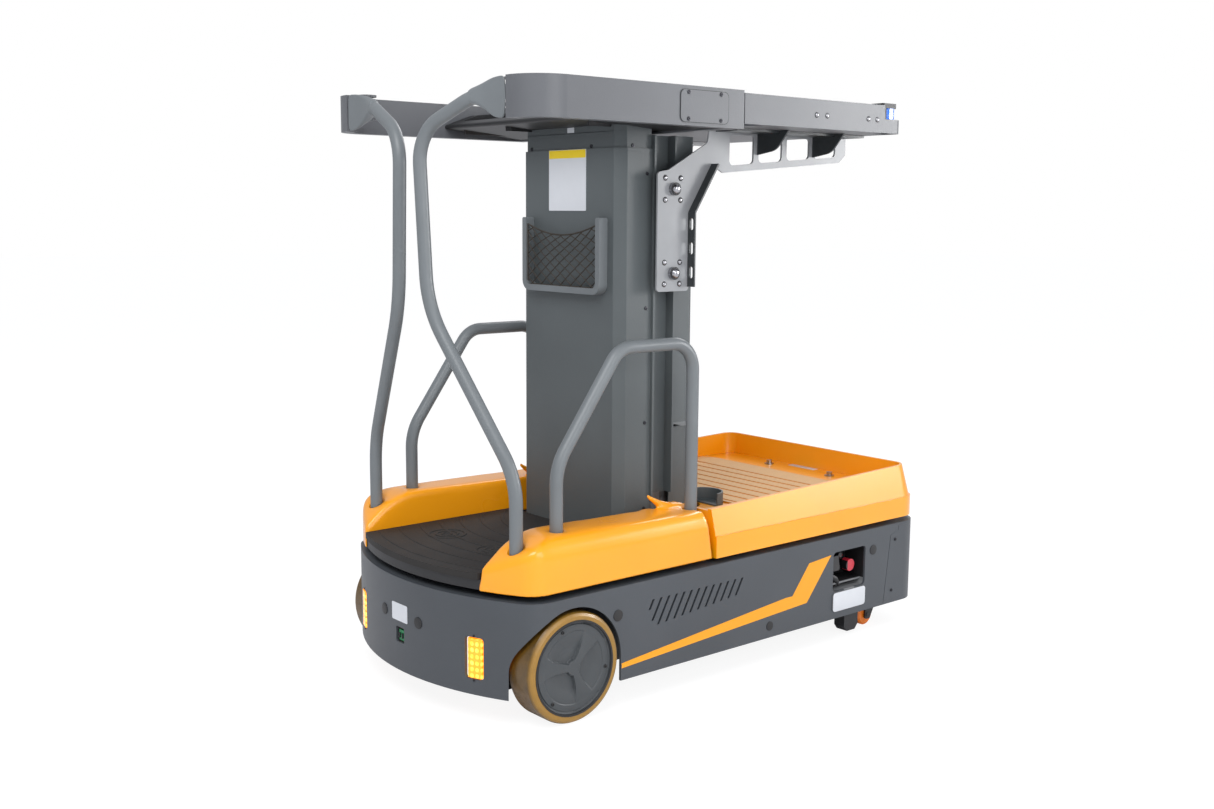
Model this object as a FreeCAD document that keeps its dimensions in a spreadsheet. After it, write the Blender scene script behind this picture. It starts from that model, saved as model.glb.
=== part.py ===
import FreeCAD, Part
import math
import os

V = FreeCAD.Vector
doc = FreeCAD.newDocument("OrderPickerTruck")
sheet = doc.addObject("Spreadsheet::Sheet", "Sizes")

# alias, value in millimetres, meaning
SIZES = [
    ("half_length", 718.5, "chassis centre to its front and rear face"),
    ("half_width", 369.0, "chassis centre to its side"),
    ("rear_bow", 655.0, "plan radius of the rear face"),
    ("rear_corner", 70.0, "plan radius of a rear corner"),
    ("front_corner", 68.0, "plan radius of a front corner"),
    ("skirt_low", 65.0, "underside of the skirt"),
    ("plate_low", 276.0, "underside of the chassis top plate"),
    ("chassis_top", 284.0, "chassis top plate"),
    ("wall", 6.0, "skirt wall"),
    ("wheel_x", -504.0, "drive axle"),
    ("wheel_r", 125.0, "drive wheel radius"),
    ("wheel_y", 333.0, "middle of the tread"),
    ("wheel_half", 40.0, "half the tread width"),
    ("tyre_bore", 108.0, "inside of the tyre band"),
    ("arch_r", 135.0, "wheel arch radius"),
    ("hub_bore", 20.06, "hub bore radius"),
    ("shaft_r", 20.0, "drive shaft radius"),
    ("caster_inset", 138.0, "caster swivel pin behind the front face"),
    ("caster_trail", 28.0, "caster axle behind its swivel pin"),
    ("caster_y", 308.0, "caster track"),
    ("caster_r", 30.0, "caster wheel radius"),
    ("frame_low", 66.0, "inner frame floor underside"),
    ("frame_floor", 74.0, "inner frame floor"),
    ("frame_high", 275.7, "inner frame webs"),
    ("web_in", 250.0, "inner face of a frame web"),
    ("web_out", 258.0, "outer face of a frame web"),
    ("deck_low", 297.0, "load deck lower edge"),
    ("deck_ledge", 350.0, "step round the load deck"),
    ("deck_floor", 372.0, "load deck floor"),
    ("deck_rim", 436.0, "load deck rim at the front"),
    ("deck_rear", -68.0, "load deck rear face"),
    ("foot_top", 585.0, "top of the fixed mast cover"),
    ("mast_low", 74.3, "foot of the mast"),
    ("mast_top", 1200.0, "top of the lowered mast"),
    ("floor_low", 300.0, "platform floor underside"),
    ("floor_top", 321.7, "platform floor"),
    ("mat_low", 322.0, "mat underside"),
    ("mat_top", 337.0, "mat"),
    ("cover_low", 298.0, "side cover lower edge"),
    ("cover_top", 424.0, "side cover blank height"),
    ("cover_in", 240.0, "side cover inner face"),
    ("cover_front", -77.5, "side cover front end"),
    ("column_rear", -231.5, "rear face of the column cover"),
    ("column_front", -131.3, "front edge of the column cover"),
    ("column_half", 192.5, "column cover side"),
    ("column_seam", 1258.0, "seam under the column cap"),
    ("column_top", 1296.7, "top of the column cap"),
    ("carriage_low", 110.0, "lower end of the carriage"),
    ("carriage_top", 1255.0, "upper end of the carriage plate"),
    ("rail_low", 430.0, "lower end of a guide rail"),
    ("rail_top", 1290.0, "upper end of a guide rail"),
    ("front_low", 600.0, "lower end of the lifting front cover"),
    ("tube_r", 15.0, "grab rail and gate tube radius"),
    ("grab_y", 297.0, "grab rail plane"),
    ("grab_rear", -497.5, "rear leg of a grab rail"),
    ("grab_front", -90.5, "front leg of a grab rail"),
    ("grab_top", 809.0, "top run of a grab rail"),
    ("gate_x", -603.5, "gate hinge axis"),
    ("gate_y", 293.0, "gate hinge axis from the centre"),
    ("arm_low", 1297.0, "underside of the console arms"),
    ("arm_height", 85.0, "height of the console arms"),
    ("arm_out", 415.0, "outside of a console arm"),
    ("arm_wide", 30.0, "width of a console arm"),
    ("arm_rear", -647.5, "rear end of the console arms"),
    ("arm_front", -57.5, "front end of the console arms"),
    ("shelf_low", 1309.3, "shelf floor underside"),
    ("shelf_floor", 1315.0, "shelf floor"),
    ("shelf_top", 1377.0, "top of the shelf sides"),
    ("shelf_lip", 1343.0, "top of the shelf front lip"),
    ("shelf_rear", 20.0, "rear edge of the shelf floor"),
    ("shelf_side_rear", -50.0, "rear end of the shelf sides"),
    ("shelf_side_front", 447.5, "front end of the shelf sides"),
    ("shelf_front", 517.5, "front edge of the shelf"),
    ("shelf_half", 410.0, "outside of a shelf side"),
    ("bracket_in", 222.5, "inner face of a shelf bracket"),
    ("bracket_out", 227.5, "outer face of a shelf bracket"),
    ("shelf_roller_x", -95.5, "guide roller axis"),
    ("net_half", 150.0, "half the width of the net frame"),
    ("net_low", 917.0, "bottom of the net frame"),
    ("net_top", 1097.0, "top of the net frame"),
]

for row, (alias, amount, meaning) in enumerate(SIZES, start=1):
    sheet.set("A{}".format(row), alias)
    sheet.set("B{}".format(row), str(amount))
    sheet.set("C{}".format(row), meaning)
    sheet.setAlias("B{}".format(row), alias)
doc.recompute()

PARTS = []
PLANES = {"x": "YZ_Plane", "y": "XZ_Plane", "z": "XY_Plane"}


def size(alias):
    return float(sheet.get(alias))


def value(spec):
    if isinstance(spec, tuple):
        return sum(value(part) for part in spec)
    if isinstance(spec, str):
        if spec.startswith("-"):
            return -size(spec[1:])
        return size(spec)
    return float(spec)


def words(spec):
    if isinstance(spec, tuple):
        return "({})".format(" + ".join(words(part) for part in spec))
    if isinstance(spec, str):
        if spec.startswith("-"):
            return "(0 - Sizes.{})".format(spec[1:])
        return "Sizes.{}".format(spec)
    return "({})".format(float(spec))


def unit(vector):
    result = V(vector)
    result.normalize()
    return result


def corner(before, point, after, radius):
    if radius <= 0:
        return point, None, point
    back = unit(before - point)
    ahead = unit(after - point)
    half = back.getAngle(ahead) / 2
    reach = radius / math.tan(half)
    centre = point + unit(back + ahead) * (radius / math.sin(half))
    middle = centre + unit(point - centre) * radius
    return point + back * reach, middle, point + ahead * reach


# points with columns x, y, corner radius
def loop(points):
    spots = [V(x, y, 0) for x, y, radius in points]
    count = len(points)
    corners = []
    for i in range(count):
        corners.append(corner(spots[i - 1], spots[i], spots[(i + 1) % count], points[i][2]))
    edges = []
    for i in range(count):
        start, middle, end = corners[i]
        if middle is not None:
            edges.append(Part.Arc(start, middle, end))
        following = corners[(i + 1) % count][0]
        if (following - end).Length > 1e-6:
            edges.append(Part.LineSegment(end, following))
    return edges


def box_loop(x0, x1, y0, y1, radius=0):
    return loop([(x0, y0, radius), (x1, y0, radius), (x1, y1, radius), (x0, y1, radius)])


def disc(x, y, radius):
    return [Part.Circle(V(x, y, 0), V(0, 0, 1), radius)]


def plan(inset):
    front = size("half_length") - inset
    side = size("half_width") - inset
    bow = size("rear_bow") - inset
    rear_r = size("rear_corner") - inset
    front_r = size("front_corner") - inset
    bow_x = size("rear_bow") - size("half_length")
    y_c = side - rear_r
    x_c = bow_x - math.sqrt((bow - rear_r) ** 2 - y_c ** 2)
    away = unit(V(x_c - bow_x, y_c, 0))
    touch = V(bow_x, 0, 0) + away * bow
    outward = unit(away + V(0, 1, 0))
    mid = V(x_c, y_c, 0) + outward * rear_r
    diagonal = front_r * math.sqrt(0.5)
    f_c = V(front - front_r, side - front_r, 0)
    return [
        Part.Arc(V(touch.x, touch.y, 0), V(bow_x - bow, 0, 0), V(touch.x, -touch.y, 0)),
        Part.Arc(V(touch.x, -touch.y, 0), V(mid.x, -mid.y, 0), V(x_c, -side, 0)),
        Part.LineSegment(V(x_c, -side, 0), V(f_c.x, -side, 0)),
        Part.Arc(V(f_c.x, -side, 0), V(f_c.x + diagonal, -f_c.y - diagonal, 0), V(front, -f_c.y, 0)),
        Part.LineSegment(V(front, -f_c.y, 0), V(front, f_c.y, 0)),
        Part.Arc(V(front, f_c.y, 0), V(f_c.x + diagonal, f_c.y + diagonal, 0), V(f_c.x, side, 0)),
        Part.LineSegment(V(f_c.x, side, 0), V(x_c, side, 0)),
        Part.Arc(V(x_c, side, 0), V(mid.x, mid.y, 0), V(touch.x, touch.y, 0)),
    ]


def new_body(name):
    body = doc.addObject("PartDesign::Body", name)
    body.Label = name
    body.AllowCompound = True
    PARTS.append((name, body))
    return body


def sketch_on(body, name, axis, base, edges, sign=1):
    sketch = body.newObject("Sketcher::SketchObject", name)
    planes = [f for f in body.Origin.OriginFeatures if f.Role == PLANES[axis]]
    sketch.AttachmentSupport = [(planes[0], "")]
    sketch.MapMode = "FlatFace"
    sketch.AttachmentOffset = FreeCAD.Placement(V(0, 0, sign * value(base)), FreeCAD.Rotation())
    sketch.setExpression(".AttachmentOffset.Base.z", "({}) * {}".format(sign, words(base)))
    for edge in edges:
        sketch.addGeometry(edge, False)
    return sketch


def slab(body, name, axis, low, high, loops, cut=False):
    edges = [edge for one in loops for edge in one]
    if axis == "y":
        sketch = sketch_on(body, name + "Sketch", axis, low if cut else high, edges, -1)
    else:
        sketch = sketch_on(body, name + "Sketch", axis, high if cut else low, edges)
    kind = "PartDesign::Pocket" if cut else "PartDesign::Pad"
    feature = body.newObject(kind, name)
    feature.Profile = sketch
    feature.Length = value(high) - value(low)
    feature.setExpression("Length", "{} - {}".format(words(high), words(low)))
    body.Tip = feature
    return feature


def loft(body, name, low, high, first, second, cut=False):
    one = sketch_on(body, name + "Low", "z", low, first)
    two = sketch_on(body, name + "High", "z", high, second)
    kind = "PartDesign::SubtractiveLoft" if cut else "PartDesign::AdditiveLoft"
    feature = body.newObject(kind, name)
    feature.Profile = one
    feature.Sections = [two]
    feature.Ruled = True
    body.Tip = feature
    return feature


# points with columns y along the axle, radius, corner radius
def turned(body, name, points, cut=False):
    sketch = sketch_on(body, name + "Sketch", "x", 0, loop(points))
    kind = "PartDesign::Groove" if cut else "PartDesign::Revolution"
    feature = body.newObject(kind, name)
    feature.Profile = sketch
    feature.ReferenceAxis = (sketch, ["H_Axis"])
    feature.Angle = 360
    body.Tip = feature
    return feature


def place(item, x, y, z):
    item.Placement = FreeCAD.Placement(V(value(x), value(y), value(z)), FreeCAD.Rotation())
    item.setExpression(".Placement.Base.x", words(x))
    item.setExpression(".Placement.Base.y", words(y))
    item.setExpression(".Placement.Base.z", words(z))


def shaped(name, shape):
    item = doc.addObject("Part::Feature", name)
    item.Label = name
    item.Shape = shape
    item.Placement = FreeCAD.Placement(V(0, 0, 0), FreeCAD.Rotation())
    PARTS.append((name, item))
    return item


# points with columns x, y, z, bend radius
def tube(points, radius):
    spots = [V(x, y, z) for x, y, z, bend in points]
    edges = []
    last = spots[0]
    for i in range(1, len(points) - 1):
        start, middle, end = corner(spots[i - 1], spots[i], spots[i + 1], points[i][3])
        edges.append(Part.LineSegment(last, start).toShape())
        edges.append(Part.Arc(start, middle, end).toShape())
        last = end
    edges.append(Part.LineSegment(last, spots[-1]).toShape())
    path = Part.Wire(edges)
    circle = Part.Wire([Part.Circle(spots[0], unit(spots[1] - spots[0]), radius).toShape()])
    return path.makePipeShell([circle], True, True)


ARM_TOP = ("arm_low", "arm_height")
CASTER_X = ("half_length", "-caster_inset", "-caster_trail")
FAR = size("half_length") + 100
FRONT = size("half_length")


def sides(name, build):
    for word, sign in (("left", 1), ("right", -1)):
        build("{}_{}".format(name, word), sign)


SEAM = [(FRONT - 158, 40, 0), (FRONT - 131, 254, 4), (FRONT - 98, 264, 4), (FRONT - 98, 276, 0)]


def chassis_shell():
    body = new_body("chassis_shell")
    slab(body, "Skirt", "z", "skirt_low", "chassis_top", [plan(0)])
    slab(body, "Inside", "z", ("skirt_low", -20), "plate_low", [plan(size("wall"))], cut=True)
    front = SEAM + [(FAR, 276, 0), (FAR, 40, 0)]
    slab(body, "FrontOpening", "y", -400, 400, [loop(front)], cut=True)
    axle = size("wheel_x")
    arch = size("arch_r")
    top = size("wheel_r") + arch
    low = size("skirt_low") - 25
    points = [(axle - arch, low, 0), (axle + arch, low, 0), (axle + arch, top, arch - 0.01),
              (axle - arch, top, arch - 0.01)]
    slab(body, "Arches", "y", -400, 400, [loop(points)], cut=True)
    vents = []
    for n in range(13):
        x = -274.5 + 24.1 * n
        high = 236.5
        deep = [213, 186][n] if n < 2 else 174 + 2.2 * (n - 2)
        lean = 0.55 * (high - deep)
        vents.append(loop([(x, high, 0), (x - lean, deep, 0), (x - lean + 7, deep, 0), (x + 7, high, 0)]))
    slab(body, "Vents", "y", -400, 400, vents, cut=True)
    bay = box_loop(354.5, 483.5, 138, 242.6, 10)
    slab(body, "BayOpening", "y", -400, -300, [bay], cut=True)
    slab(body, "TabSlot", "y", -400, -300, [box_loop(399.7, 440.3, 133.7, 139)], cut=True)
    lamps = [box_loop(s * 234.5 - 23, s * 234.5 + 23, 101, 195, 8) for s in (1, -1)]
    slab(body, "LampOpenings", "x", 1.5 - FRONT, 118.5 - FRONT, lamps, cut=True)
    slab(body, "SocketOpening", "x", -FAR, 68.5 - FRONT, [box_loop(-17, 17, 132, 168, 4)], cut=True)
    shaft = box_loop(-145, 15, -172, 172, 8)
    slab(body, "MastOpening", "z", 260, 300, [shaft], cut=True)


def front_cover():
    body = new_body("front_cover")
    slab(body, "Wall", "z", "skirt_low", ("plate_low", -0.3), [plan(0), plan(5)])
    behind = [(x + 1.5, z, r) for x, z, r in SEAM] + [(FRONT - 96.5, 300, 0), (-FAR, 300, 0), (-FAR, 40, 0)]
    slab(body, "Seam", "y", -400, 400, [loop(behind)], cut=True)
    slab(body, "Chin", "y", -400, 400, [loop([(FRONT - 28.5, 50, 0), (FRONT + 21.5, 50, 0), (FRONT + 21.5, 95, 0)])], cut=True)


def inner_frame():
    body = new_body("inner_frame")
    side = size("half_width")
    slab(body, "Floor", "z", "frame_low", "frame_floor", [box_loop(368.5 - FRONT, FRONT - 218.5, -size("web_out"), size("web_out"))])
    webs = []
    for s in (1, -1):
        across = sorted([s * size("web_in"), s * size("web_out")])
        webs.append(box_loop(78.5 - FRONT, FRONT - 28.5, across[0], across[1]))
    slab(body, "Webs", "z", "frame_low", "frame_high", webs)
    slab(body, "Outrigger", "z", "frame_low", "frame_floor", [box_loop(FRONT - 293.5, FRONT - 218.5, 7 - side, side - 7)])
    slab(body, "CasterPlate", "z", 112, 120, [box_loop(FRONT - 206.5, FRONT - 28.5, 17 - side, side - 17, 20)])
    slab(body, "FrontBeam", "z", 120, "frame_high", [box_loop(FRONT - 78.5, FRONT - 70.5, -size("web_out"), size("web_out"))])
    slab(body, "RearBeam", "z", "frame_low", "frame_high", [box_loop(370.5 - FRONT, 378.5 - FRONT, -size("web_out"), size("web_out"))])


def battery():
    body = new_body("battery")
    slab(body, "Block", "z", ("frame_floor", 0.3), 262, [box_loop(30, FRONT - 238.5, 12 - size("web_in"), size("web_in") - 12, 6)])


def drive_unit(name, sign):
    body = new_body(name)
    edge = size("web_out") + 0.3
    shaft = size("shaft_r")
    rows = [(edge, 0, 0), (edge, 55, 0), (283, 55, 0), (286, 52, 0), (286, shaft, 0), (350.5, shaft, 0),
            (352, shaft - 1.5, 0), (352, 0, 0)]
    turned(body, "Gearbox", [(sign * y, r, c) for y, r, c in rows])
    place(body, "wheel_x", 0, "wheel_r")


def drive_tyre(name, sign):
    body = new_body(name)
    half = size("wheel_half")
    outer = size("wheel_r")
    inner = size("tyre_bore")
    rows = [(-half, inner, 0), (-half, outer - 9, 0), (-half + 3, outer - 3, 0), (-half + 9, outer, 0),
            (half - 9, outer, 0), (half - 3, outer - 3, 0), (half, outer - 9, 0), (half, inner, 0)]
    turned(body, "Tread", rows)
    place(body, "wheel_x", "wheel_y" if sign > 0 else "-wheel_y", "wheel_r")


def drive_hub(name, sign):
    body = new_body(name)
    rim = size("tyre_bore") - 0.3
    bore = size("hub_bore")
    rows = [(-38, rim - 7, 0), (-38, rim, 0), (38.5, rim, 0), (38.5, rim - 5, 0), (35, rim - 5, 0),
            (35, 78, 0), (31, 70, 0), (31, 8, 0), (24, 8, 0), (24, bore, 0), (-40, bore, 0),
            (-40, 44, 0), (8, 44, 0), (8, rim - 7, 0)]
    turned(body, "Wheel", [(sign * y, r, c) for y, r, c in rows])
    low, high = (29, 37.5) if sign > 0 else (-37.5, -29)
    arms = []
    for n in range(3):
        angle = math.radians(52 + 120 * n)
        along = V(math.cos(angle), math.sin(angle), 0)
        across = V(-along.y, along.x, 0)
        spots = [along * 10 - across * 24, along * 56 - across * 16, along * 88 - across * 25,
                 along * 88 + across * 25, along * 56 + across * 16, along * 10 + across * 24]
        arms.append(loop([(p.x, p.y, 0) for p in spots]))
    for n, arm in enumerate(arms):
        slab(body, "Arm{}".format(n), "y", low, high, [arm])
    slab(body, "Boss", "y", low, high, [disc(0, 0, 34)])
    place(body, "wheel_x", "wheel_y" if sign > 0 else "-wheel_y", "wheel_r")


def caster_fork(name, sign):
    body = new_body(name)
    pin = size("caster_trail")
    r = size("caster_r")
    slab(body, "Head", "z", 72, 111.7, [disc(pin, 0, 26)])
    slab(body, "Yoke", "z", 67, 74, [loop([(-9, -21, 6), (pin + 22, -21, 14), (pin + 22, 21, 14), (-9, 21, 6)])])
    cheek = loop([(-10, r - 12, 9), (10, r - 12, 9), (pin + 12, 73, 4), (-8, 73, 4)])
    slab(body, "CheekA", "y", 16, 20, [cheek])
    slab(body, "CheekB", "y", -20, -16, [cheek])
    slab(body, "Axle", "y", -22, 22, [disc(0, r, 6)])
    place(body, CASTER_X, "caster_y" if sign > 0 else "-caster_y", 0)


def caster_wheel(name, sign):
    body = new_body(name)
    outer = size("caster_r")
    rows = [(-13, 6.06, 0), (-13, outer - 5, 0), (-9, outer, 0), (9, outer, 0), (13, outer - 5, 0),
            (13, 6.06, 0)]
    turned(body, "Roller", rows)
    place(body, CASTER_X, "caster_y" if sign > 0 else "-caster_y", "caster_r")


def control_bay():
    body = new_body("control_bay")
    outer = box_loop(350.5, 487.5, 134, 246.6, 12)
    inner = box_loop(354.5, 483.5, 138, 242.6, 10)
    slab(body, "Box", "y", -362.7, -290, [outer])
    slab(body, "Hollow", "y", -380, -294, [inner], cut=True)
    tray = box_loop(354, 484, 150, 156)
    slab(body, "Tray", "y", -352, -292, [tray])
    plate = box_loop(354.5, 483.5, 84, 135, 10)
    slab(body, "Plate", "y", -372, -369.3, [plate])
    slab(body, "PlateTab", "y", -370, -362, [box_loop(400, 440, 134, 139)])


def bay_controls():
    body = new_body("bay_controls")
    slab(body, "Base", "y", -306, -294.3, [box_loop(362, 476, 166, 232, 8)])
    slab(body, "Lever", "y", -350, -300, [box_loop(378, 398, 186, 204, 8)])
    slab(body, "LeverArm", "y", -352, -338, [loop([(374, 186, 6), (402, 186, 6), (394, 226, 7), (372, 226, 7)])])
    slab(body, "KnobStem", "y", -334, -300, [disc(446, 192, 9)])
    slab(body, "Knob", "y", -350, -330, [disc(446, 192, 16)])
    slab(body, "Valve", "y", -330, -300, [disc(428, 216, 8)])


def skid_blocks():
    body = new_body("skid_blocks")
    for word, s in (("Left", 1), ("Right", -1)):
        x0 = FRONT - 286
        x1 = FRONT - 231
        top = size("frame_low") - 0.3
        block = loop([(x0, 24, 0), (x0 + 11.5, 10, 3), (x1 - 11.5, 10, 3), (x1, 24, 0), (x1, top, 0), (x0, top, 0)])
        slab(body, word, "y", s * 330 - 17, s * 330 + 17, [block])


def rear_lamps():
    radius = size("rear_bow")
    centre = radius - size("half_length")
    lamps = []
    for s in (1, -1):
        block = Part.makeBox(16, 38, 88, V(-8, -19, -44))
        upright = [e for e in block.Edges if abs(e.tangentAt(e.FirstParameter).z) > 0.9]
        block = block.makeFillet(5, upright)
        angle = math.degrees(math.asin(234.5 / radius))
        spin = FreeCAD.Rotation(V(0, 0, 1), -s * angle)
        middle = V(centre - (radius - 7) * math.cos(math.radians(angle)), s * 234.5, 148)
        block.Placement = FreeCAD.Placement(middle, spin)
        carrier = Part.makeBox(60, 30, 60, V(0, -15, -30))
        carrier.Placement = FreeCAD.Placement(middle + V(4, 0, 0), FreeCAD.Rotation())
        lamps.append(block.fuse(carrier).removeSplitter())
    return shaped("rear_lamps", Part.makeCompound(lamps))


def load_deck():
    body = new_body("load_deck")
    slab(body, "Base", "z", "deck_low", "deck_ledge", [plan(4)])
    loft(body, "Sides", "deck_ledge", "deck_rim", plan(8), plan(30))
    loft(body, "Hollow", "deck_floor", ("deck_rim", 1), plan(38), plan(36), cut=True)
    rear = size("deck_rear")
    slab(body, "Behind", "z", 280, 460, [box_loop(-FAR, rear, -400, 400)], cut=True)
    slab(body, "Underside", "z", 280, ("deck_floor", -6), [box_loop(rear + 6, FRONT - 58.5, -350, 350, 40)], cut=True)
    slope = loop([(-120, 411, 0), (FRONT + 21.5, 436, 0), (FRONT + 21.5, 470, 0), (-120, 470, 0)])
    slab(body, "RimSlope", "y", -400, 400, [slope], cut=True)
    notch = loop([(-100, -205, 0), (-45, -205, 0), (-45, -173, 0), (90, -173, 50), (90, 173, 50),
                  (-45, 173, 0), (-45, 205, 0), (-100, 205, 0)])
    slab(body, "MastNotch", "z", 280, 460, [notch], cut=True)
    walls = [box_loop(rear, rear + 8, s * 269 - 64, s * 269 + 64) for s in (1, -1)]
    slab(body, "RearRim", "z", ("deck_floor", -3), 408, walls)
    feet = [box_loop(110, FRONT - 78.5, s * 300 - 4, s * 300 + 4) for s in (1, -1)]
    slab(body, "Feet", "z", ("chassis_top", 0.3), ("deck_floor", -3), feet)


def deck_panel():
    body = new_body("deck_panel")
    ahead = FRONT - 158.5
    outline = loop([(-55, -318, 10), (ahead, -318, 60), (ahead, 318, 60), (-55, 318, 10), (-55, 210, 0),
                    (-40, 210, 0), (-40, 178, 0), (95, 178, 50), (95, -178, 50), (-40, -178, 0), (-40, -210, 0),
                    (-55, -210, 0)])
    slab(body, "Sheet", "z", ("deck_floor", 0.3), ("deck_floor", 4), [outline])
    slab(body, "CollarGap", "z", ("deck_floor", -5), ("deck_floor", 10), [box_loop(40, 143, -209, -106)], cut=True)
    grooves = [box_loop(110 + 45 * n, 118 + 45 * n, -300, 300, 3.9) for n in range(9)]
    slab(body, "Grooves", "z", ("deck_floor", 2), ("deck_floor", 10), grooves, cut=True)


def deck_bolts():
    body = new_body("deck_bolts")
    for word, y in (("Left", 116), ("Right", -116)):
        slab(body, word + "Washer", "z", ("deck_floor", 0.3), ("deck_floor", 3), [disc(FRONT - 91, y, 14)])
        slab(body, word + "Head", "z", ("deck_floor", 2), ("deck_floor", 12), [disc(FRONT - 91, y, 8)])


def deck_collar():
    body = new_body("deck_collar")
    band = loop([(92, -205, 0), (139.6, -205, 47.4), (139.6, -110, 47.4), (92, -110, 0), (92, -114, 0),
                 (135.6, -114, 43.4), (135.6, -201, 43.4), (92, -201, 0)])
    slab(body, "Band", "z", ("deck_floor", 0.3), ("deck_floor", 34), [band])
    sole = loop([(92, -204, 0), (138.6, -204, 46.4), (138.6, -111, 46.4), (92, -111, 0)])
    slab(body, "Sole", "z", ("deck_floor", 0.3), ("deck_floor", 4), [sole])


def mast_foot_cover():
    body = new_body("mast_foot_cover")
    outer = loop([(-44, -168, 0), (85, -168, 55), (85, 168, 55), (-44, 168, 0)])
    inner = loop([(-60, -164, 0), (81, -164, 51), (81, 164, 51), (-60, 164, 0)])
    slab(body, "Cover", "z", ("chassis_top", 0.3), "foot_top", [outer])
    slab(body, "Hollow", "z", 260, ("foot_top", -4), [inner], cut=True)
    slab(body, "TopNotch", "z", ("foot_top", -20), ("foot_top", 20), [box_loop(-60, 2, -160, 160)], cut=True)


def stage(name, low, web, flange, x0, x1, thick, tops, rollers):
    body = new_body(name)
    for word, under, over, a, b, half in tops:
        slab(body, word, "z", under, over, [box_loop(a, b, -half, half)])
    channels = []
    for s in (1, -1):
        channels.append(loop([(x0, s * flange, 0), (x0, s * web, 0), (x1, s * web, 0), (x1, s * flange, 0),
                              (x1 - thick, s * flange, 0), (x1 - thick, s * (web - 6), 0),
                              (x0 + thick, s * (web - 6), 0), (x0 + thick, s * flange, 0)]))
    slab(body, "Channels", "z", low, "mast_top", channels)
    for n, (z, x, inner, outer, r) in enumerate(rollers):
        for word, s in (("L", 1), ("R", -1)):
            pair = sorted([s * inner, s * outer])
            slab(body, "Roller{}{}".format(n, word), "y", pair[0], pair[1], [disc(x, z, r)])
    return body


def mast():
    stage("mast_outer", "mast_low", 150, 118, -102, -20, 8,
          [("Foot", "mast_low", ("mast_low", 9.7), -102, -12, 150), ("Tie", 1120, 1190, -20, -12, 150)], [])
    stage("mast_middle", ("mast_low", 16), 116, 84, -97, -31, 7,
          [("Foot", 92, 120, -31, -25, 116), ("Tie", 1140, ("mast_top", 0), -31, -25, 116),
           ("Head", 1160, 1180, -70, -25, 24)],
          [(150, -61, 116, 143.7, 32.7), (250, -61, 116, 143.7, 32.7)])
    stage("mast_inner", ("mast_low", 16), 82, 50, -92, -36, 7,
          [("Foot", 92, 110, -100, -92, 82), ("Tie", 1188, ("mast_top", 0), -42, -36, 82)],
          [(150, -64, 82, 109.7, 25.7), (250, -64, 82, 109.7, 25.7)])
    barrel = new_body("lift_barrel")
    slab(barrel, "Tube", "z", 84.3, 1140, [disc(-55, 0, 24)])
    slab(barrel, "Bore", "z", 100, 1180, [disc(-55, 0, 16.3)], cut=True)
    rod = new_body("lift_rod")
    slab(rod, "Rod", "z", 110, 1159.7, [disc(-55, 0, 16)])


def carriage():
    body = new_body("carriage")
    slab(body, "Back", "z", "carriage_low", "carriage_top", [box_loop(-125, -115, -171, 171)])
    rails = []
    for s in (1, -1):
        rails.append(loop([(-131, s * 168, 0), (-131, s * 200, 0), (-125, s * 200, 0), (-125, s * 174, 0),
                           (-66, s * 174, 0), (-66, s * 200, 0), (-60, s * 200, 0), (-60, s * 168, 0)]))
    slab(body, "Rails", "z", "rail_low", "rail_top", rails)
    tongues = [box_loop(-116, -47, s * 36 - 4, s * 36 + 4) for s in (1, -1)]
    slab(body, "Tongues", "z", 118, 262, tongues)
    for n, z in enumerate((141, 240)):
        for word, s in (("L", 1), ("R", -1)):
            pair = sorted([s * 39, s * 54])
            slab(body, "Stub{}{}".format(n, word), "y", pair[0], pair[1], [disc(-64, z, 10)])
            pair = sorted([s * 53, s * 75.7])
            slab(body, "Roller{}{}".format(n, word), "y", pair[0], pair[1], [disc(-64, z, 20.7)])


def platform_floor():
    body = new_body("platform_floor")
    slab(body, "Plate", "z", "floor_low", "floor_top", [plan(10)])
    slab(body, "Ahead", "z", 280, 340, [box_loop(-125.3, FAR, -400, 400)], cut=True)
    slab(body, "Under", "z", 280, ("floor_top", -5), [box_loop(-600, -132, -340, 340, 20)], cut=True)
    for n, s in enumerate((1, -1)):
        slab(body, "Rib{}".format(n), "z", "floor_low", ("floor_top", -1), [box_loop(-610, -130, s * 90 - 3, s * 90 + 3)])


def floor_mat():
    body = new_body("floor_mat")
    slab(body, "Rubber", "z", "mat_low", "mat_top", [plan(6)])
    front = size("column_rear") - 1
    edge = size("cover_in") - 2
    rest = [box_loop(front, FAR, -400, 400), box_loop(-FAR, front + 1, edge, 400), box_loop(-FAR, front + 1, -400, -edge)]
    for n, one in enumerate(rest):
        slab(body, "Trim{}".format(n), "z", 300, 360, [one], cut=True)


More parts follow.
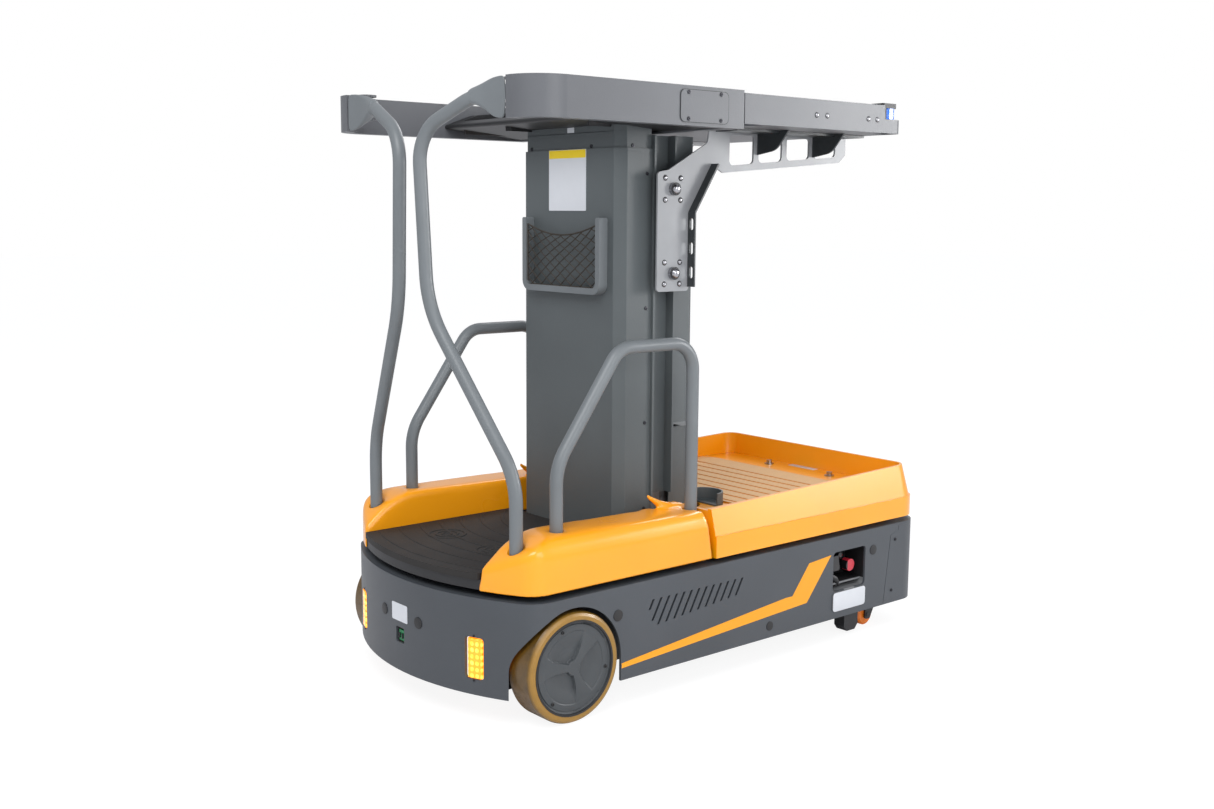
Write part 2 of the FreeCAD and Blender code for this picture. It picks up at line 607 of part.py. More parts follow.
def side_cover(name, sign):
    body = new_body(name)
    slab(body, "Blank", "z", "cover_low", "cover_top", [plan(6)])
    inside = size("cover_in")
    far = sorted([sign * inside, -sign * 400])
    slab(body, "Inside", "z", 280, 440, [box_loop(-FAR, FAR, far[0], far[1])], cut=True)
    slab(body, "Ahead", "z", 280, 440, [box_loop(size("cover_front"), FAR, -500, 500)], cut=True)
    high = loop([(-FAR, 340, 0), (42.5 - FRONT, 340, 14), (146.5 - FRONT, 422, 170), (-60, 411, 0), (-60, 460, 0),
                 (-FAR, 460, 0)])
    slab(body, "Profile", "y", -400, 400, [high], cut=True)
    wedge = loop([(sign * 365, 368, 0), (sign * 352, 417, 34), (sign * 236, 423, 0), (sign * 236, 445, 0),
                  (sign * 385, 445, 0), (sign * 385, 368, 0)])
    slab(body, "Shoulder", "x", -650, 0, [wedge], cut=True)
    rake = loop([(-76, 290, 0), (-101, 430, 0), (-40, 430, 0), (-40, 290, 0)])
    slab(body, "Rake", "y", -400, 400, [rake], cut=True)
    pair = sorted([sign * inside, sign * (inside + 16)])
    ear = loop([(-188, 400, 0), (-150, 441, 24), (-106, 441, 14), (-104, 400, 0)])
    slab(body, "Ear", "y", pair[0], pair[1], [ear])
    slab(body, "EarHole", "y", -400, 400, [disc(-126, 427, 4)], cut=True)
    slab(body, "Skirt", "z", 270, "mat_low", [plan(9.7)], cut=True)
    holes = [disc(size("gate_x"), sign * size("gate_y"), 19.5), disc(size("grab_rear"), sign * size("grab_y"), 18),
             disc(size("grab_front"), sign * size("grab_y"), 18)]
    for n, hole in enumerate(holes[:2] + holes[2:]):
        if n == 2:
            hole = loop([(-108.5, sign * 279, 12), (-60, sign * 279, 0), (-60, sign * 315, 0), (-108.5, sign * 315, 12)])
        slab(body, "Hole{}".format(n), "z", 280, 440, [hole], cut=True)


def grab_rail(name, sign):
    y = sign * size("grab_y")
    low = size("mat_low")
    rear = size("grab_rear")
    front = size("grab_front")
    top = size("grab_top")
    rows = [(rear, y, low, 0), (rear, y, 560, 130), (rear + 178, y, top, 65), (front, y, top, 65), (front, y, low, 0)]
    return shaped(name, tube(rows, size("tube_r")))


def gate(name, sign):
    x = size("gate_x")
    y = size("gate_y")
    rows = [(x, y, size("mat_low") + 0.3, 0), (x, y, 545, 190), (-671, 60, 900, 260), (-676, 38, 1278, 95),
            (-645, 200, 1346, 150), (x, y, 1356, 0)]
    pipe = tube([(a, sign * b, c, d) for a, b, c, d in rows], size("tube_r"))
    knuckle = Part.makeCylinder(15, 38, V(x, sign * y, 1335))
    pin = Part.makeCylinder(8, 60, V(x, sign * y, 1322))
    return shaped(name, pipe.fuse([knuckle, pin]).removeSplitter())


def column_cover():
    body = new_body("column_cover")
    rear = size("column_rear")
    front = size("column_front")
    side = size("column_half")

    def outline(t):
        return loop([(front + (20 if t else 0), -side + t, 0), (rear + 22.5, -side + t, 3),
                     (rear + t, -side + 22.5 + t * 0.4, 3), (rear + t, side - 22.5 - t * 0.4, 3),
                     (rear + 22.5, side - t, 3), (front + (20 if t else 0), side - t, 0)])
    slab(body, "Post", "z", "mat_low", "column_seam", [outline(0)])
    cap = loop([(front, -side + 4, 0), (rear + 24, -side + 4, 3), (rear + 4, -side + 25, 3), (rear + 4, side - 25, 3),
                (rear + 24, side - 4, 3), (front, side - 4, 0)])
    slab(body, "Cap", "z", ("column_seam", -1), "column_top", [cap])
    slab(body, "Hollow", "z", 300, ("column_top", -8), [outline(8)], cut=True)
    slab(body, "Pinch", "z", 200, 340, [box_loop(-140, -100, -300, 300)], cut=True)


def mast_front_cover():
    body = new_body("mast_front_cover")
    outer = loop([(-59.7, -188, 0), (13, -188, 18), (13, 188, 18), (-59.7, 188, 0), (-59.7, 184, 0), (9, 184, 14),
                  (9, -184, 14), (-59.7, -184, 0)])
    slab(body, "Sheet", "z", "front_low", "rail_top", [outer])


def console_frame():
    body = new_body("console_frame")
    low = ("arm_low", 0)
    rear = size("arm_rear")
    front = size("arm_front")
    out = size("arm_out")
    inn = out - size("arm_wide")
    outline = loop([(rear, -out, 85), (front, -out, 0), (front, out, 0), (rear, out, 85)])
    slab(body, "Ring", "z", low, ARM_TOP, [outline])
    hollow = loop([(rear + 30, -inn, 55), (front - 30, -inn, 0), (front - 30, inn, 0), (rear + 30, inn, 55)])
    slab(body, "Hollow", "z", 1280, (ARM_TOP, 10), [hollow], cut=True)
    end = size("gate_y") + 29
    slab(body, "Entry", "z", 1280, (ARM_TOP, 10), [box_loop(rear - 10, rear + 40, -end, end)], cut=True)
    for word, s in (("Left", 1), ("Right", -1)):
        x = size("gate_x")
        y = s * size("gate_y")
        lug = loop([(x - 36, y + s * 34, 0), (x - 18, y - s * 17, 16), (x + 17, y - s * 17, 16), (x + 17, y + s * 34, 4)])
        slab(body, word + "TopLug", "z", (ARM_TOP, -5), ARM_TOP, [lug])
        slab(body, word + "LowLug", "z", (ARM_TOP, -58), (ARM_TOP, -52), [lug])
        slab(body, word + "Bore", "z", (ARM_TOP, -70), (ARM_TOP, 10), [disc(x, y, 8.06)], cut=True)
        pair = sorted([s * (out - 1), s * (out + 1.5)])
        slab(body, word + "Hatch", "y", pair[0], pair[1], [box_loop(-247, -107, 1311, 1369, 10)])


def dash():
    body = new_body("dash")
    profile = loop([(-330, 1300, 6), (-330, 1328, 6), (-250, 1356, 20), (-88, 1374, 0), (-88, 1300, 0)])
    half = size("arm_out") - size("arm_wide") - 0.3
    slab(body, "Pod", "y", -half, half, [profile])
    well = loop([(-300, 150, 12), (-110, 150, 12), (-110, 350, 12), (-300, 350, 12)])
    slab(body, "LeftWell", "z", 1306, 1400, [well], cut=True)
    well = loop([(-300, -350, 12), (-110, -350, 12), (-110, -150, 12), (-300, -150, 12)])
    slab(body, "RightWell", "z", 1306, 1400, [well], cut=True)
    slab(body, "Console", "z", 1356, 1400, [box_loop(-262, -120, -125, 125, 8)], cut=True)


def dash_controls():
    body = new_body("dash_controls")
    slab(body, "StopBase", "z", 1356.3, 1372, [disc(-200, 90, 22)])
    slab(body, "StopHead", "z", 1370, 1384, [disc(-200, 90, 18)])
    slab(body, "Stick", "z", 1356.3, 1402, [disc(-210, -90, 14)])
    slab(body, "Display", "z", 1356.3, 1374, [box_loop(-240, -150, -40, 40, 8)])
    return body


def net_frame():
    body = new_body("net_frame")
    half = size("net_half")
    low = size("net_low")
    top = size("net_top")
    shape = loop([(-half, top, 5), (-half, low, 26), (half, low, 26), (half, top, 5), (half - 15, top, 5),
                  (half - 15, low + 15, 13), (-half + 15, low + 15, 13), (-half + 15, top, 5)])
    rear = size("column_rear")
    slab(body, "Frame", "x", ("column_rear", -26), ("column_rear", -0.3), [shape])


def net():
    body = new_body("net")
    half = size("net_half") - 15.3
    low = size("net_low") + 15.3
    top = size("net_top") - 16
    pad = loop([(-half, top, 5), (-half, low, 12.7), (half, low, 12.7), (half, top, 5)])
    slab(body, "Mesh", "x", ("column_rear", -22), ("column_rear", -18), [pad])


def shelf_tray():
    body = new_body("shelf_tray")
    half = size("shelf_half")
    rear = size("shelf_rear")
    front = size("shelf_front")
    outline = loop([(rear, -half, 0), (front, -half, 22), (front, half, 22), (rear, half, 0)])
    slab(body, "Floor", "z", "shelf_low", "shelf_floor", [outline])
    rails = [box_loop(size("shelf_side_rear"), size("shelf_side_front"), s * (half - 4) - 4, s * (half - 4) + 4)
             for s in (1, -1)]
    slab(body, "Sides", "z", "shelf_low", "shelf_top", rails)
    slab(body, "Rear", "z", "shelf_low", "shelf_top", [box_loop(rear, rear + 6, -half + 1, half - 1)])
    lip = loop([(430, -half, 0), (front, -half, 22), (front, half, 22), (430, half, 0), (430, half - 5, 0),
                (front - 5, half - 5, 17), (front - 5, -half + 5, 17), (430, -half + 5, 0)])
    slab(body, "Lip", "z", "shelf_low", "shelf_lip", [lip])
    hole = box_loop(front - 69.9, front - 10.5, 5.1 - half, 49 - half)
    slab(body, "LightHole", "z", ("shelf_low", -20), ("shelf_floor", 15), [hole], cut=True)


PLATE = [(-145.5, 925, 8), (-43.5, 925, 8), (-43.5, 1110, 12), (31.5, 1224, 12), (66.5, 1206, 12),
         (494.5, 1241.6, 14), (519, 1262, 14), (519, 1309, 0), (20.5, 1309, 0), (13.5, 1275, 12), (-111.5, 1209, 12),
         (-145.5, 1203, 8)]


def shelf_brackets():
    body = new_body("shelf_brackets")
    windows = []
    for n in range(4):
        a = 88 + 102 * n
        b = a + 84
        low_a = 1222 + (a - 66.5) * 0.083
        low_b = 1222 + (b - 66.5) * 0.083
        windows.append(loop([(a, low_a, 12), (b, low_b, 12), (b, 1298, 8), (a, 1298, 8)]))
    edge = [(-43.5, 935, 0), (-43.5, 1110, 12), (31.5, 1224, 0), (27.5, 1226.6, 0), (-47.5, 1111.2, 10), (-47.5, 935, 0)]
    for word, s in (("Left", 1), ("Right", -1)):
        pair = sorted([s * size("bracket_in"), s * size("bracket_out")])
        slab(body, word + "Plate", "y", pair[0], pair[1], [loop(PLATE)] + windows)
        pair = sorted([s * (size("bracket_out") - 1), s * (size("bracket_out") + 24)])
        slab(body, word + "Flange", "y", pair[0], pair[1], [loop(edge)])
        slots = []
        for low in (955, 1012, 1069):
            across = sorted([s * (size("bracket_out") + 6), s * (size("bracket_out") + 18)])
            slots.append(box_loop(across[0], across[1], low, low + 28, 5.9))
        slab(body, word + "Slots", "x", -60, -30, slots, cut=True)
        inner = s * (size("bracket_out") - 1)
        for n, x in enumerate((184, 388)):
            web = loop([(inner, 1309, 0), (inner, 1252, 0), (s * 290, 1262, 45), (s * 330, 1309, 0)])
            slab(body, "{}Web{}".format(word, n), "x", x, x + 5, [web])
        pair = sorted([s * (size("bracket_out") - 8), s * (size("bracket_out") + 1)])
        pins = [disc(size("shelf_roller_x"), z, 12) for z in (968, 1165)]
        slab(body, word + "Pins", "y", pair[0], pair[1], pins, cut=True)
        pair = sorted([s * size("bracket_in"), s * 300])
        foot = box_loop(40, 505, 1303, 1309)
        slab(body, word + "Foot", "y", pair[0], pair[1], [foot])


def shelf_rollers():
    body = new_body("shelf_rollers")
    for n, z in enumerate((968, 1165)):
        for word, s in (("L", 1), ("R", -1)):
            for part, a, b, r in (("Wheel", 178, 197, 29), ("Pin", 196, 233, 11.7), ("Head", 228, 237, 15)):
                pair = sorted([s * a, s * b])
                slab(body, "{}{}{}".format(part, n, word), "y", pair[0], pair[1], [disc(size("shelf_roller_x"), z, r)])


def beacon():
    body = new_body("beacon_housing")
    front = size("shelf_front")
    y0 = 5.3 - size("shelf_half")
    y1 = y0 + 40
    slab(body, "Base", "z", ("shelf_floor", 0.3), ("shelf_floor", 17), [box_loop(front - 69.5, front - 13.5, y0, y1, 8)])
    slab(body, "Back", "z", ("shelf_floor", 10), ("shelf_floor", 68), [box_loop(front - 69.5, front - 55.5, y0, y1, 4)])
    slab(body, "Roof", "z", ("shelf_floor", 56), ("shelf_floor", 68), [box_loop(front - 69.5, front - 15.5, y0, y1, 8)])
    lens = new_body("beacon_lens")
    glass = box_loop(front - 55.2, front - 17.5, y0 + 2, y1 - 2, 12)
    slab(lens, "Lens", "z", ("shelf_floor", 17.3), ("shelf_floor", 55.7), [glass])


chassis_shell()
front_cover()
inner_frame()
battery()
sides("drive_unit", drive_unit)
sides("drive_tyre", drive_tyre)
sides("drive_hub", drive_hub)
sides("caster_fork", caster_fork)
sides("caster_wheel", caster_wheel)
control_bay()
bay_controls()
skid_blocks()
rear_lamps()
load_deck()
deck_panel()
deck_bolts()
deck_collar()
mast_foot_cover()
mast()
carriage()
platform_floor()
floor_mat()
sides("side_cover", side_cover)
sides("grab_rail", grab_rail)
column_cover()
mast_front_cover()
console_frame()
dash()
dash_controls()
net_frame()
net()
sides("gate", gate)
shelf_tray()
shelf_brackets()
shelf_rollers()
beacon()

doc.recompute()

for item in doc.Objects:
    if "Invalid" in item.State or "Error" in item.State:
        raise RuntimeError("feature failed: {} {}".format(item.Name, item.State))
for name, item in PARTS:
    if item.Shape.isNull() or not item.Shape.isValid() or not item.Shape.Solids:
        raise RuntimeError("bad shape: {}".format(name))

os.makedirs("parts", exist_ok=True)
for name, item in PARTS:
    item.Shape.exportStep(os.path.join("parts", name + ".step"))
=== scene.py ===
"""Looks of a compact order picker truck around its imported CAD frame."""

import math

import bmesh
import bpy
from bpy.props import FloatProperty, FloatVectorProperty, PointerProperty
from mathutils import Matrix, Vector


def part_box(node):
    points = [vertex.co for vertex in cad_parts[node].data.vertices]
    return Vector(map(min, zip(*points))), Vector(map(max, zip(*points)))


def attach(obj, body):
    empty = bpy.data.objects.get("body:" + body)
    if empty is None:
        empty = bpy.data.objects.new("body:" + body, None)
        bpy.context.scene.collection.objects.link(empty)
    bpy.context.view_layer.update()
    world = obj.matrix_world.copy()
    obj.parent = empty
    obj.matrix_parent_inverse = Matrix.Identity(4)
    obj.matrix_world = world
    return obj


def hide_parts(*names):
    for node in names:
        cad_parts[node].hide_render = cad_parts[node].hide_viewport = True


bl_info = {
    "name": "Order Picker Truck Looks",
    "version": (1, 0, 0),
    "blender": (4, 5, 0),
    "location": "View3D > Sidebar > Truck",
    "description": "Dresses the order picker truck frame in its finishes and small fittings",
    "category": "Object",
}

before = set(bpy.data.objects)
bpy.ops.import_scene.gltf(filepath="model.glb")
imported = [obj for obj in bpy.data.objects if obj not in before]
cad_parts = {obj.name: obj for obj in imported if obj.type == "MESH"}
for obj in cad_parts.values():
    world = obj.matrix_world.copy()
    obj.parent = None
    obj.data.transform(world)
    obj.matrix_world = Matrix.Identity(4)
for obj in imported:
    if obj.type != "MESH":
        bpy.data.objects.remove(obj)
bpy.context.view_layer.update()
MM = 0.001


def linear(red, green, blue):
    """Turns display values from 0 to 255 into linear light."""
    parts = [v / 255 for v in (red, green, blue)]
    return tuple(v / 12.92 if v <= 0.04045 else ((v + 0.055) / 1.055) ** 2.4 for v in parts)


def colour(label, words, *display):
    """A colour setting given by its display values."""
    tone = linear(*display)
    return FloatVectorProperty(name=label, description=words, subtype="COLOR", min=0, max=1, default=tone)


def length(label, words, default):
    """A size setting in metres."""
    return FloatProperty(name=label, description=words, default=default, unit="LENGTH", min=0)


class TruckColours(bpy.types.PropertyGroup):
    chassis: colour("Chassis", "Powder coat of the chassis skirt", 71, 75, 80)
    cover: colour("Covers", "Glossy yellow of the covers and load deck", 255, 164, 8)
    column: colour("Column", "Powder coat of the mast column", 86, 92, 94)
    console: colour("Console", "Powder coat of the console arms and shelf", 97, 99, 103)
    tube: colour("Tubes", "Powder coat of the rails and gates", 112, 117, 120)
    bracket: colour("Brackets", "Light coat of the shelf brackets", 143, 145, 148)
    mat: colour("Mat", "Rubber of the operator's mat", 41, 39, 38)
    tread: colour("Tread", "Polyurethane of the drive wheels", 156, 116, 40)
    hub: colour("Hub", "Moulded hub cap", 66, 70, 73)
    deck: colour("Deck", "Ribbed deck panel", 214, 164, 98)
    lamp: colour("Lamps", "Amber rear lamps", 255, 190, 40)
    beacon: colour("Beacon", "Blue floor lamp", 30, 110, 220)


class TruckSizes(bpy.types.PropertyGroup):
    screw: length("Screw", "Radius of a cover screw's head", 4.5 * MM)
    plug: length("Plug", "Radius of a plug in the skirt", 13.5 * MM)
    stripe: length("Stripe", "Thickness of the side stripe", 0.7 * MM)
    cord: length("Cord", "Thickness of the net's cords", 4.2 * MM)
    rib: length("Rib", "Height of a rib on the mat", 1.6 * MM)


class Signal:
    """A shader socket's value that takes part in Python arithmetic."""

    def __init__(self, paint, socket):
        self.paint = paint
        self.socket = socket

    def math(self, operation, first, second=0.0, clamp=False):
        """One maths node on the way to the shader."""
        settings = {"operation": operation, "use_clamp": clamp}
        return self.paint.node("ShaderNodeMath", settings, {0: first, 1: second})

    def __add__(self, other):
        return self.math("ADD", self, other)

    def __radd__(self, other):
        return self.math("ADD", other, self)

    def __sub__(self, other):
        return self.math("SUBTRACT", self, other)

    def __mul__(self, other):
        return self.math("MULTIPLY", self, other)

    def __gt__(self, other):
        return self.math("GREATER_THAN", self, other)

    def __lt__(self, other):
        return self.math("LESS_THAN", self, other)

    def abs(self):
        return self.math("ABSOLUTE", self)

    def sine(self):
        return self.math("SINE", self)

    def clamped(self):
        return self.math("ADD", self, 0.0, True)


class Paint:
    """One finish: a Principled shader and the nodes that vary it."""

    def __init__(self, name, roughness=0.5, metallic=0.0, **sockets):
        self.material = bpy.data.materials.new(name)
        self.material.use_nodes = True
        self.tree = self.material.node_tree
        self.shader = next(n for n in self.tree.nodes if n.type == "BSDF_PRINCIPLED")
        self.shader.inputs["Roughness"].default_value = roughness
        self.shader.inputs["Metallic"].default_value = metallic
        for key, amount in sockets.items():
            self.shader.inputs[key.replace("_", " ")].default_value = amount
        coordinates = self.tree.nodes.new("ShaderNodeTexCoord")
        self.place = Signal(self, coordinates.outputs["Object"])

    def node(self, kind, settings, inputs, output=0):
        """Adds a shader node; inputs take numbers, tuples or signals."""
        made = self.tree.nodes.new(kind)
        for key, setting in settings.items():
            setattr(made, key, setting)
        for key, amount in inputs.items():
            if isinstance(amount, Signal):
                self.tree.links.new(amount.socket, made.inputs[key])
            else:
                made.inputs[key].default_value = amount
        return Signal(self, made.outputs[output])

    def noise(self, scale, detail=2.0, rough=0.5, place=None):
        """Fractal noise over object coordinates or a given place."""
        inputs = {"Vector": place or self.place, "Scale": scale, "Detail": detail, "Roughness": rough}
        return self.node("ShaderNodeTexNoise", {}, inputs)

    def cells(self, scale):
        return self.node("ShaderNodeTexVoronoi", {"feature": "F1"}, {"Vector": self.place, "Scale": scale})

    def axes(self):
        """The three object coordinates in metres."""
        split = self.tree.nodes.new("ShaderNodeSeparateXYZ")
        self.tree.links.new(self.place.socket, split.inputs[0])
        return [Signal(self, s) for s in split.outputs]

    def blend(self, factor, first, second):
        """Colour from first to second by the factor."""
        settings = {"data_type": "RGBA"}
        return self.node("ShaderNodeMix", settings, {0: factor, 6: solid(first), 7: solid(second)}, 2)

    def ramp(self, signal, low, high):
        """Straight ramp from 0 at low to 1 at high."""
        inputs = {"Value": signal, "From Min": low, "From Max": high}
        return self.node("ShaderNodeMapRange", {"clamp": True}, inputs)

    def feed(self, key, amount):
        """Sends a value or signal into one socket of the shader."""
        if isinstance(amount, Signal):
            self.tree.links.new(amount.socket, self.shader.inputs[key])
        else:
            self.shader.inputs[key].default_value = amount

    def bump(self, height, distance, strength=1.0):
        inputs = {"Height": height, "Distance": distance, "Strength": strength}
        self.feed("Normal", self.node("ShaderNodeBump", {}, inputs))


def solid(tone):
    """A colour with its alpha, or the signal itself."""
    if isinstance(tone, Signal):
        return tone
    return (tone[0], tone[1], tone[2], 1.0)


def shade(tone, factor):
    """The tone made lighter or darker by a factor."""
    return tuple(min(1.0, c * factor) for c in tone)


def powder_coat(name, tone, roughness=0.42, grain=900.0, depth=0.00016):
    """Sprayed powder coat: fine orange peel and soft cloudy variation."""
    paint = Paint(name, roughness, Specular_IOR_Level=0.45)
    cloud = paint.noise(5.0, 3.0)
    fleck = paint.noise(grain, 2.0, 0.7)
    base = paint.blend(paint.ramp(cloud, 0.3, 0.7), shade(tone, 0.93), shade(tone, 1.06))
    paint.feed("Base Color", paint.blend(paint.ramp(fleck, 0.62, 0.8) * 0.35, base, shade(tone, 1.35)))
    paint.feed("Roughness", roughness - 0.05 + cloud * 0.1)
    paint.bump(fleck + paint.noise(grain * 0.3, 1.0) * 1.5, depth, 0.5)
    return paint.material


def gloss_cover(tone):
    """Glossy moulded cover under clear coat."""
    paint = Paint("cover_yellow", 0.3, Coat_Weight=0.45, Coat_Roughness=0.1)
    cloud = paint.noise(3.0, 2.0)
    paint.feed("Base Color", paint.blend(paint.ramp(cloud, 0.35, 0.65), shade(tone, 0.96), shade(tone, 1.03)))
    paint.feed("Roughness", 0.24 + cloud * 0.1)
    paint.bump(paint.noise(60.0, 1.0), 0.0006, 0.25)
    return paint.material


def rubber(tone):
    """Moulded rubber, dusty in places."""
    paint = Paint("mat_rubber", 0.72, Specular_IOR_Level=0.35)
    grain = paint.noise(700.0, 3.0, 0.7)
    dust = paint.noise(9.0, 4.0)
    paint.feed("Base Color", paint.blend(paint.ramp(dust, 0.4, 0.75) * 0.5, tone, shade(tone, 1.7)))
    paint.feed("Roughness", 0.62 + grain * 0.2)
    paint.bump(grain, 0.0004, 0.6)
    return paint.material


def tread(tone):
    """Cast polyurethane, darker and scuffed where it rolls."""
    paint = Paint("wheel_polyurethane", 0.32, Coat_Weight=0.2, Coat_Roughness=0.2)
    y = paint.axes()[1]
    side = paint.ramp(y.abs(), 0.3645, 0.3725)
    scuff = paint.noise(60.0, 5.0, 0.65)
    worn = paint.blend(paint.ramp(scuff, 0.4, 0.7) * 0.6, shade(tone, 0.34), shade(tone, 0.17))
    flank = paint.blend(scuff, shade(tone, 1.12), shade(tone, 0.8))
    paint.feed("Base Color", paint.blend(side, worn, flank))
    paint.feed("Roughness", 0.25 + scuff * 0.25)
    paint.bump(scuff, 0.0003, 0.3)
    return paint.material


def plastic(name, tone, roughness=0.5, grain=900.0):
    """Moulded plastic with a spark-eroded grain."""
    paint = Paint(name, roughness)
    fine = paint.noise(grain, 3.0, 0.6)
    wide = paint.noise(14.0, 2.0)
    paint.feed("Base Color", paint.blend(paint.ramp(wide, 0.3, 0.7), shade(tone, 0.92), shade(tone, 1.07)))
    paint.feed("Roughness", roughness - 0.06 + fine * 0.12)
    paint.bump(fine, 0.00012, 0.5)
    return paint.material


def bracket_coat(tone, dark_tone):
    """Light sheet whose bent flange and gussets are dark."""
    paint = Paint("bracket_light", 0.36)
    y = paint.axes()[1]
    cloud = paint.noise(6.0, 3.0)
    fine = paint.noise(900.0, 2.0, 0.7)
    light = paint.blend(paint.ramp(cloud, 0.3, 0.7), shade(tone, 0.86), shade(tone, 1.14))
    paint.feed("Base Color", paint.blend(y.abs() > 0.2278, light, dark_tone))
    paint.feed("Roughness", 0.3 + fine * 0.14)
    paint.bump(fine, 0.00012, 0.4)
    return paint.material


def mast_steel(tone, grime_tone):
    """Rolled mast channel with greasy brown runs down its rails."""
    paint = Paint("mast_steel", 0.4)
    drawn = paint.node("ShaderNodeMapping", {}, {"Vector": paint.place, "Scale": (90.0, 90.0, 3.0)})
    runs = paint.noise(1.0, 4.0, 0.65, drawn)
    spots = paint.noise(24.0, 3.0, 0.6)
    dirt = paint.ramp(runs * spots, 0.2, 0.42)
    paint.feed("Base Color", paint.blend(dirt, shade(tone, 1.1), grime_tone))
    paint.feed("Roughness", 0.3 + runs * 0.25)
    paint.bump(runs, 0.0002, 0.4)
    return paint.material


def metal(name, tone, roughness):
    """Plain steel with drawn grain."""
    paint = Paint(name, roughness, 1.0)
    stretched = paint.node("ShaderNodeMapping", {}, {"Vector": paint.place, "Scale": (6.0, 6.0, 500.0)})
    grain = paint.noise(1.0, 4.0, 0.6, stretched)
    paint.feed("Base Color", paint.blend(grain, shade(tone, 0.8), shade(tone, 1.15)))
    paint.feed("Roughness", roughness - 0.08 + grain * 0.2)
    paint.bump(grain, 0.0001, 0.3)
    return paint.material


def deck_sheet(tone, groove_tone):
    """Speckled anti-slip panel with orange grooves."""
    paint = Paint("deck_tan", 0.55)
    z = paint.axes()[2]
    speck = paint.cells(420.0)
    grain = paint.noise(260.0, 3.0, 0.7)
    base = paint.blend(paint.ramp(speck, 0.05, 0.5), shade(tone, 1.08), shade(tone, 0.92))
    low = paint.ramp(z, 0.3757, 0.3748)
    paint.feed("Base Color", paint.blend(low, base, groove_tone))
    paint.feed("Roughness", 0.42 + grain * 0.25)
    paint.bump(grain, 0.0003, 0.5)
    return paint.material


def lamp_glass(tone):
    """Amber lamp face with a grid of lit cells."""
    paint = Paint("lamp_amber", 0.2, Emission_Strength=1.6, Coat_Weight=0.5)
    y, z = paint.axes()[1:]
    rows = (z * (math.pi / 0.0145)).sine().abs()
    columns = (y * (math.pi / 0.0125)).sine().abs()
    cell = paint.ramp(rows * columns, 0.25, 0.8)
    paint.feed("Base Color", paint.blend(cell, shade(tone, 0.55), tone))
    lit = (cell * paint.ramp(paint.noise(55.0, 2.0), 0.3, 0.62)).clamped()
    paint.feed("Emission Color", paint.blend(lit, (0.95, 0.2, 0.0), (1.0, 0.66, 0.12)))
    paint.bump(cell, 0.001, 0.4)
    return paint.material


def lens(tone):
    """Clear blue lens with fine flutes."""
    paint = Paint("lens_blue", 0.12, Emission_Strength=0.5, Coat_Weight=0.6)
    z = paint.axes()[2]
    flutes = (z * (math.pi / 0.004)).sine().abs()
    paint.feed("Base Color", paint.blend(flutes, shade(tone, 0.5), tone))
    paint.feed("Emission Color", paint.blend(flutes, shade(tone, 0.4), tone))
    paint.bump(flutes, 0.0008, 0.5)
    return paint.material


def bay_plastic(tone, tray_tone):
    """Black recess whose bottom tray is grey."""
    paint = Paint("bay_black", 0.5)
    z = paint.axes()[2]
    fine = paint.noise(900.0, 3.0, 0.6)
    tray = z < 0.1545
    wall = paint.blend(fine, shade(tone, 0.85), shade(tone, 1.15))
    paint.feed("Base Color", paint.blend(tray, wall, tray_tone))
    paint.feed("Roughness", 0.42 + fine * 0.14)
    paint.bump(fine, 0.00012, 0.5)
    return paint.material


def bay_levers(tone, dark_tone):
    """Red knob beside a black release lever."""
    paint = Paint("control_bay_red", 0.3, Coat_Weight=0.3)
    x, y = paint.axes()[:2]
    fine = paint.noise(500.0, 2.0)
    lever = (x < 0.4355).clamped()
    knob = (lever + (y > -0.329)).clamped()
    paint.feed("Base Color", paint.blend(knob, paint.blend(fine, shade(tone, 0.9), tone), dark_tone))
    paint.feed("Roughness", 0.26 + fine * 0.12)
    paint.bump(fine, 0.0001, 0.4)
    return paint.material


def cord_fibre():
    """Dull brown net cord."""
    paint = Paint("net_cord", 0.8)
    grain = paint.noise(1500.0, 2.0)
    paint.feed("Base Color", paint.blend(grain, (0.022, 0.018, 0.014), (0.075, 0.062, 0.05)))
    paint.bump(grain, 0.0003, 0.6)
    return paint.material


def label_film(name, tone):
    """Blank printed film, slightly uneven in gloss."""
    paint = Paint(name, 0.35)
    soft = paint.noise(30.0, 2.0)
    paint.feed("Base Color", paint.blend(soft, shade(tone, 0.95), tone))
    paint.feed("Roughness", 0.3 + soft * 0.12)
    paint.bump(paint.noise(400.0, 1.0), 0.00008, 0.3)
    return paint.material


FINISHES = {}


